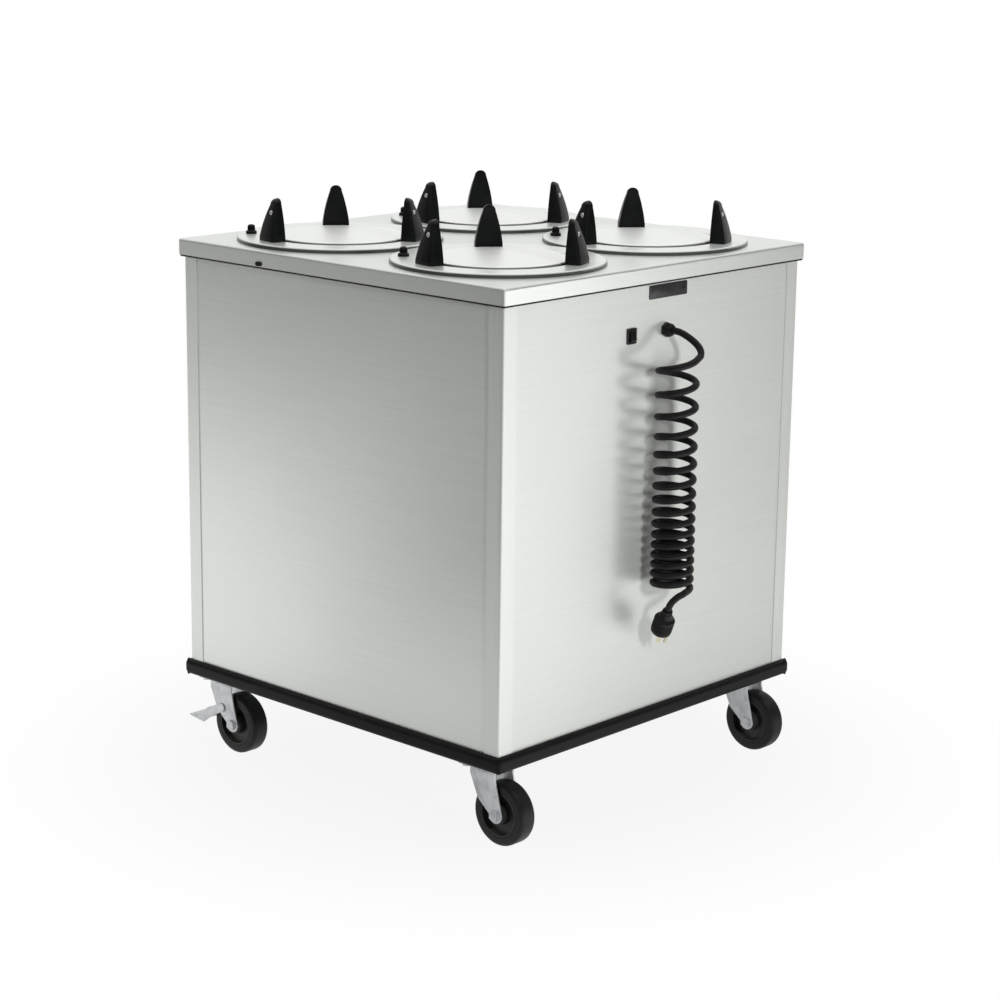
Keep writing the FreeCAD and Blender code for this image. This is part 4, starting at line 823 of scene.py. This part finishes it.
def makePlug(s):
    plug = startPiece("cordPlug", bpy.ops.mesh.primitive_circle_add, vertices=s["sides"], radius=s["start"],
                      fill_type="NGON", location=(0, 0, 0))
    bpy.ops.mesh.select_all(action="SELECT")
    ribStep = (s["ribTo"] - s["ribFrom"]) / s["ribs"]
    grooves = [(s["ribFrom"] + ribStep * i + ribStep * share, s["body"][0][1] - s["ribDeep"] * cut)
               for i in range(s["ribs"]) for share, cut in s["ribShares"]]
    lastUp, lastRadius = 0.0, s["start"]
    for up, radius in sorted([*s["boot"], *s["shoulder"], *s["body"], *s["end"], *grooves]):
        bpy.ops.mesh.extrude_region_move(TRANSFORM_OT_translate={"value": (0, 0, up - lastUp)})
        bpy.ops.transform.resize(value=(radius / lastRadius,) * 2 + (1,), center_override=(0, 0, up))
        lastUp, lastRadius = up, radius
    # slots across the boot, on alternate quarters, so that it can flex
    first, second, third, fourth = (up for up, radius in s["boot"])
    pick(lambda co, normal: abs(normal.z) < 0.5 and (first < co.z < second or third < co.z < fourth)
         and (abs(co.x) > abs(co.y)) == (co.z < second))
    bpy.ops.mesh.inset(thickness=s["slotEdge"], depth=-s["slotDeep"])
    bpy.ops.mesh.select_all(action="SELECT")
    bpy.ops.mesh.normals_make_consistent(inside=False)
    endPiece(plug, plugRubber, 40)
    heading = (Vector(s["at"]) - Vector(s["from"])).normalized()
    plug.data.transform(Matrix.Translation(s["at"]) @ heading.to_track_quat("Z", "X").to_matrix().to_4x4())
    place(plug, "cabinet", "plug_rubber", "plug_body")
    return plug


cordPlug = makePlug(plugSet)
print("plug made")


# cord gland: locknut inside, hexagon outside and a ribbed dome round the cord

glandSet = {
    "x": 16 * mm, "z": 0.770, "face": -0.3565, "sheet": 1.2 * mm,
    "nutRadius": 12 * mm, "nutLong": 6.5 * mm, "nutEdge": 0.7 * mm,
    "lockRadius": 11 * mm, "lockLong": 4 * mm, "lockEdge": 0.5 * mm,
    "domeRadius": 10.6 * mm, "domeFoot": 1 * mm, "sides": 48, "ribOut": 0.5 * mm,
    "dome": ((3.2 * mm, 10.4 * mm), (2.0 * mm, 9.7 * mm), (1.8 * mm, 8.7 * mm), (1.5 * mm, 7.4 * mm)),  # (rise, radius)
    "threadRadius": 8 * mm, "threadLong": 9 * mm, "threadWall": 1.2 * mm, "threadDeep": 1.5 * mm,
}


def makeNut(name, radius, tall, middle, edge):
    nut = startPiece(name, bpy.ops.mesh.primitive_cylinder_add, vertices=6, radius=radius, depth=tall,
                     location=(0, 0, middle))
    bpy.ops.mesh.select_all(action="SELECT")
    bpy.ops.mesh.bevel(offset=edge, segments=2)
    return endPiece(nut, plugRubber, 30)


def makeGland(s):
    # built along +z, which then turns to face the front
    nut = makeNut("glandNut", s["nutRadius"], s["nutLong"], s["nutLong"] / 2, s["nutEdge"])
    dome = startPiece("glandDome", bpy.ops.mesh.primitive_cylinder_add, vertices=s["sides"], radius=s["domeRadius"],
                      depth=s["domeFoot"], location=(0, 0, s["nutLong"] + s["domeFoot"] / 2))
    pick(lambda co, normal: normal.z > 0.9)
    last = s["domeRadius"]
    for up, radius in s["dome"]:
        bpy.ops.mesh.extrude_region_move(TRANSFORM_OT_translate={"value": (0, 0, up)})
        bpy.ops.transform.resize(value=(radius / last,) * 2 + (1,))
        last = radius
    ribLow = s["nutLong"] + s["domeFoot"]
    ribHigh = ribLow + s["dome"][0][0]
    step = 2 * math.pi / s["sides"]
    pick(lambda co, normal: abs(normal.z) < 0.3 and ribLow < co.z < ribHigh
         and int(round(math.atan2(co.y, co.x) / step - 0.5)) % 2 == 0)
    bpy.ops.mesh.extrude_faces_move(TRANSFORM_OT_shrink_fatten={"value": -s["ribOut"]})
    bpy.ops.mesh.select_all(action="SELECT")
    bpy.ops.mesh.normals_make_consistent(inside=False)
    endPiece(dome, plugRubber)
    through = s["sheet"] + s["threadLong"]
    thread = startPiece("glandThread", bpy.ops.mesh.primitive_cylinder_add, vertices=32, radius=s["threadRadius"],
                        depth=through, location=(0, 0, -through / 2))
    pick(lambda co, normal: normal.z < -0.9)
    bpy.ops.mesh.inset(thickness=s["threadWall"])
    bpy.ops.transform.translate(value=(0, 0, s["threadDeep"]))
    endPiece(thread, plugRubber, 30)
    lock = makeNut("glandLock", s["lockRadius"], s["lockLong"], -s["sheet"] - s["lockLong"] / 2, s["lockEdge"])
    gland = joinPieces([nut, dome, thread, lock], "cordGland")
    gland.data.transform(Matrix.Translation((s["x"], s["face"], s["z"])) @ Matrix.Rotation(math.pi / 2, 4, "X"))
    place(gland, "cabinet", "plug_rubber", "cord_gland")


makeGland(glandSet)
print("gland made")


# curly cord: one line from the gland, through the curls, to the plug

cordSet = {
    "diameter": 11 * mm, "exit": (0.016, -0.3725, 0.770), "leadOut": 12.5 * mm,
    "lead": ((0.021, -0.398, 0.763), (0.026, -0.410, 0.754), (0.027, -0.420, 0.744)), "leadIn": 11 * mm,
    "centre": (-0.008, -0.403), "radius": 29.5 * mm, "top": 0.731, "curls": 16, "startAngle": -75,
    "loosePitch": 42 * mm, "tightPitch": 15 * mm, "easing": 2.4, "pointsPerCurl": 16, "tailOut": 10 * mm,
    "tail": ((-0.0295, -0.435, 0.360), (-0.035, -0.4295, 0.3535), (-0.036, -0.423, 0.345), (-0.034, -0.418, 0.335)),
    "length": 3.14, "stepsPerPoint": 5, "roundSteps": 4,
}


def curlAt(s, turn, radius):
    angle = math.radians(s["startAngle"]) - 2 * math.pi * turn
    left = 1 - turn / s["curls"]
    eased = s["curls"] / (s["easing"] + 1) * (1 - left ** (s["easing"] + 1))
    drop = s["tightPitch"] * turn + (s["loosePitch"] - s["tightPitch"]) * eased
    x, y = s["centre"]
    return Vector((x + radius * math.cos(angle), y + radius * math.sin(angle), s["top"] - drop))


def curlHeading(s, turn):
    angle = math.radians(s["startAngle"]) - 2 * math.pi * turn
    pitch = s["tightPitch"] + (s["loosePitch"] - s["tightPitch"]) * (1 - turn / s["curls"]) ** s["easing"]
    around = 2 * math.pi * s["radius"]
    return Vector((around * math.sin(angle), -around * math.cos(angle), -pitch)).normalized()


def makeCord(s):
    # the points of an order-3 line lie a little outside its curls
    outside = s["radius"] / (0.75 + 0.25 * math.cos(2 * math.pi / s["pointsPerCurl"]))
    leave = Vector(s["exit"])
    top, bottom = curlAt(s, 0, s["radius"]), curlAt(s, s["curls"], s["radius"])
    first = top - curlHeading(s, 0) * s["diameter"]
    last = bottom + curlHeading(s, s["curls"]) * s["diameter"]
    points = [leave, leave - Vector((0, s["leadOut"], 0))]
    points += [Vector(p) for p in s["lead"]]
    points += [first - curlHeading(s, 0) * s["leadIn"], first]
    count = s["curls"] * s["pointsPerCurl"]
    points += [curlAt(s, i / s["pointsPerCurl"], outside) for i in range(count + 1)]
    points += [last, last + curlHeading(s, s["curls"]) * s["tailOut"]]
    points += [Vector(p) for p in s["tail"]]
    curve = bpy.data.curves.new("powerCord", "CURVE")
    curve.dimensions = "3D"
    spline = curve.splines.new("NURBS")
    spline.points.add(len(points) - 1)
    for point, co in zip(spline.points, points):
        point.co = (*co, 1)
    spline.order_u = 3
    spline.use_endpoint_u = True
    spline.resolution_u = s["stepsPerPoint"]
    curve.bevel_depth = s["diameter"] / 2
    curve.bevel_resolution = s["roundSteps"]
    curve.use_fill_caps = True
    cord = bpy.data.objects.new("powerCord", curve)
    bpy.context.scene.collection.objects.link(cord)
    curve.materials.append(cordJacket)
    place(cord, "cabinet", "cord_rubber", "cord_lead", "cord_coil", "cord_tail")
    return cord


powerCord = makeCord(cordSet)
print("cord made")
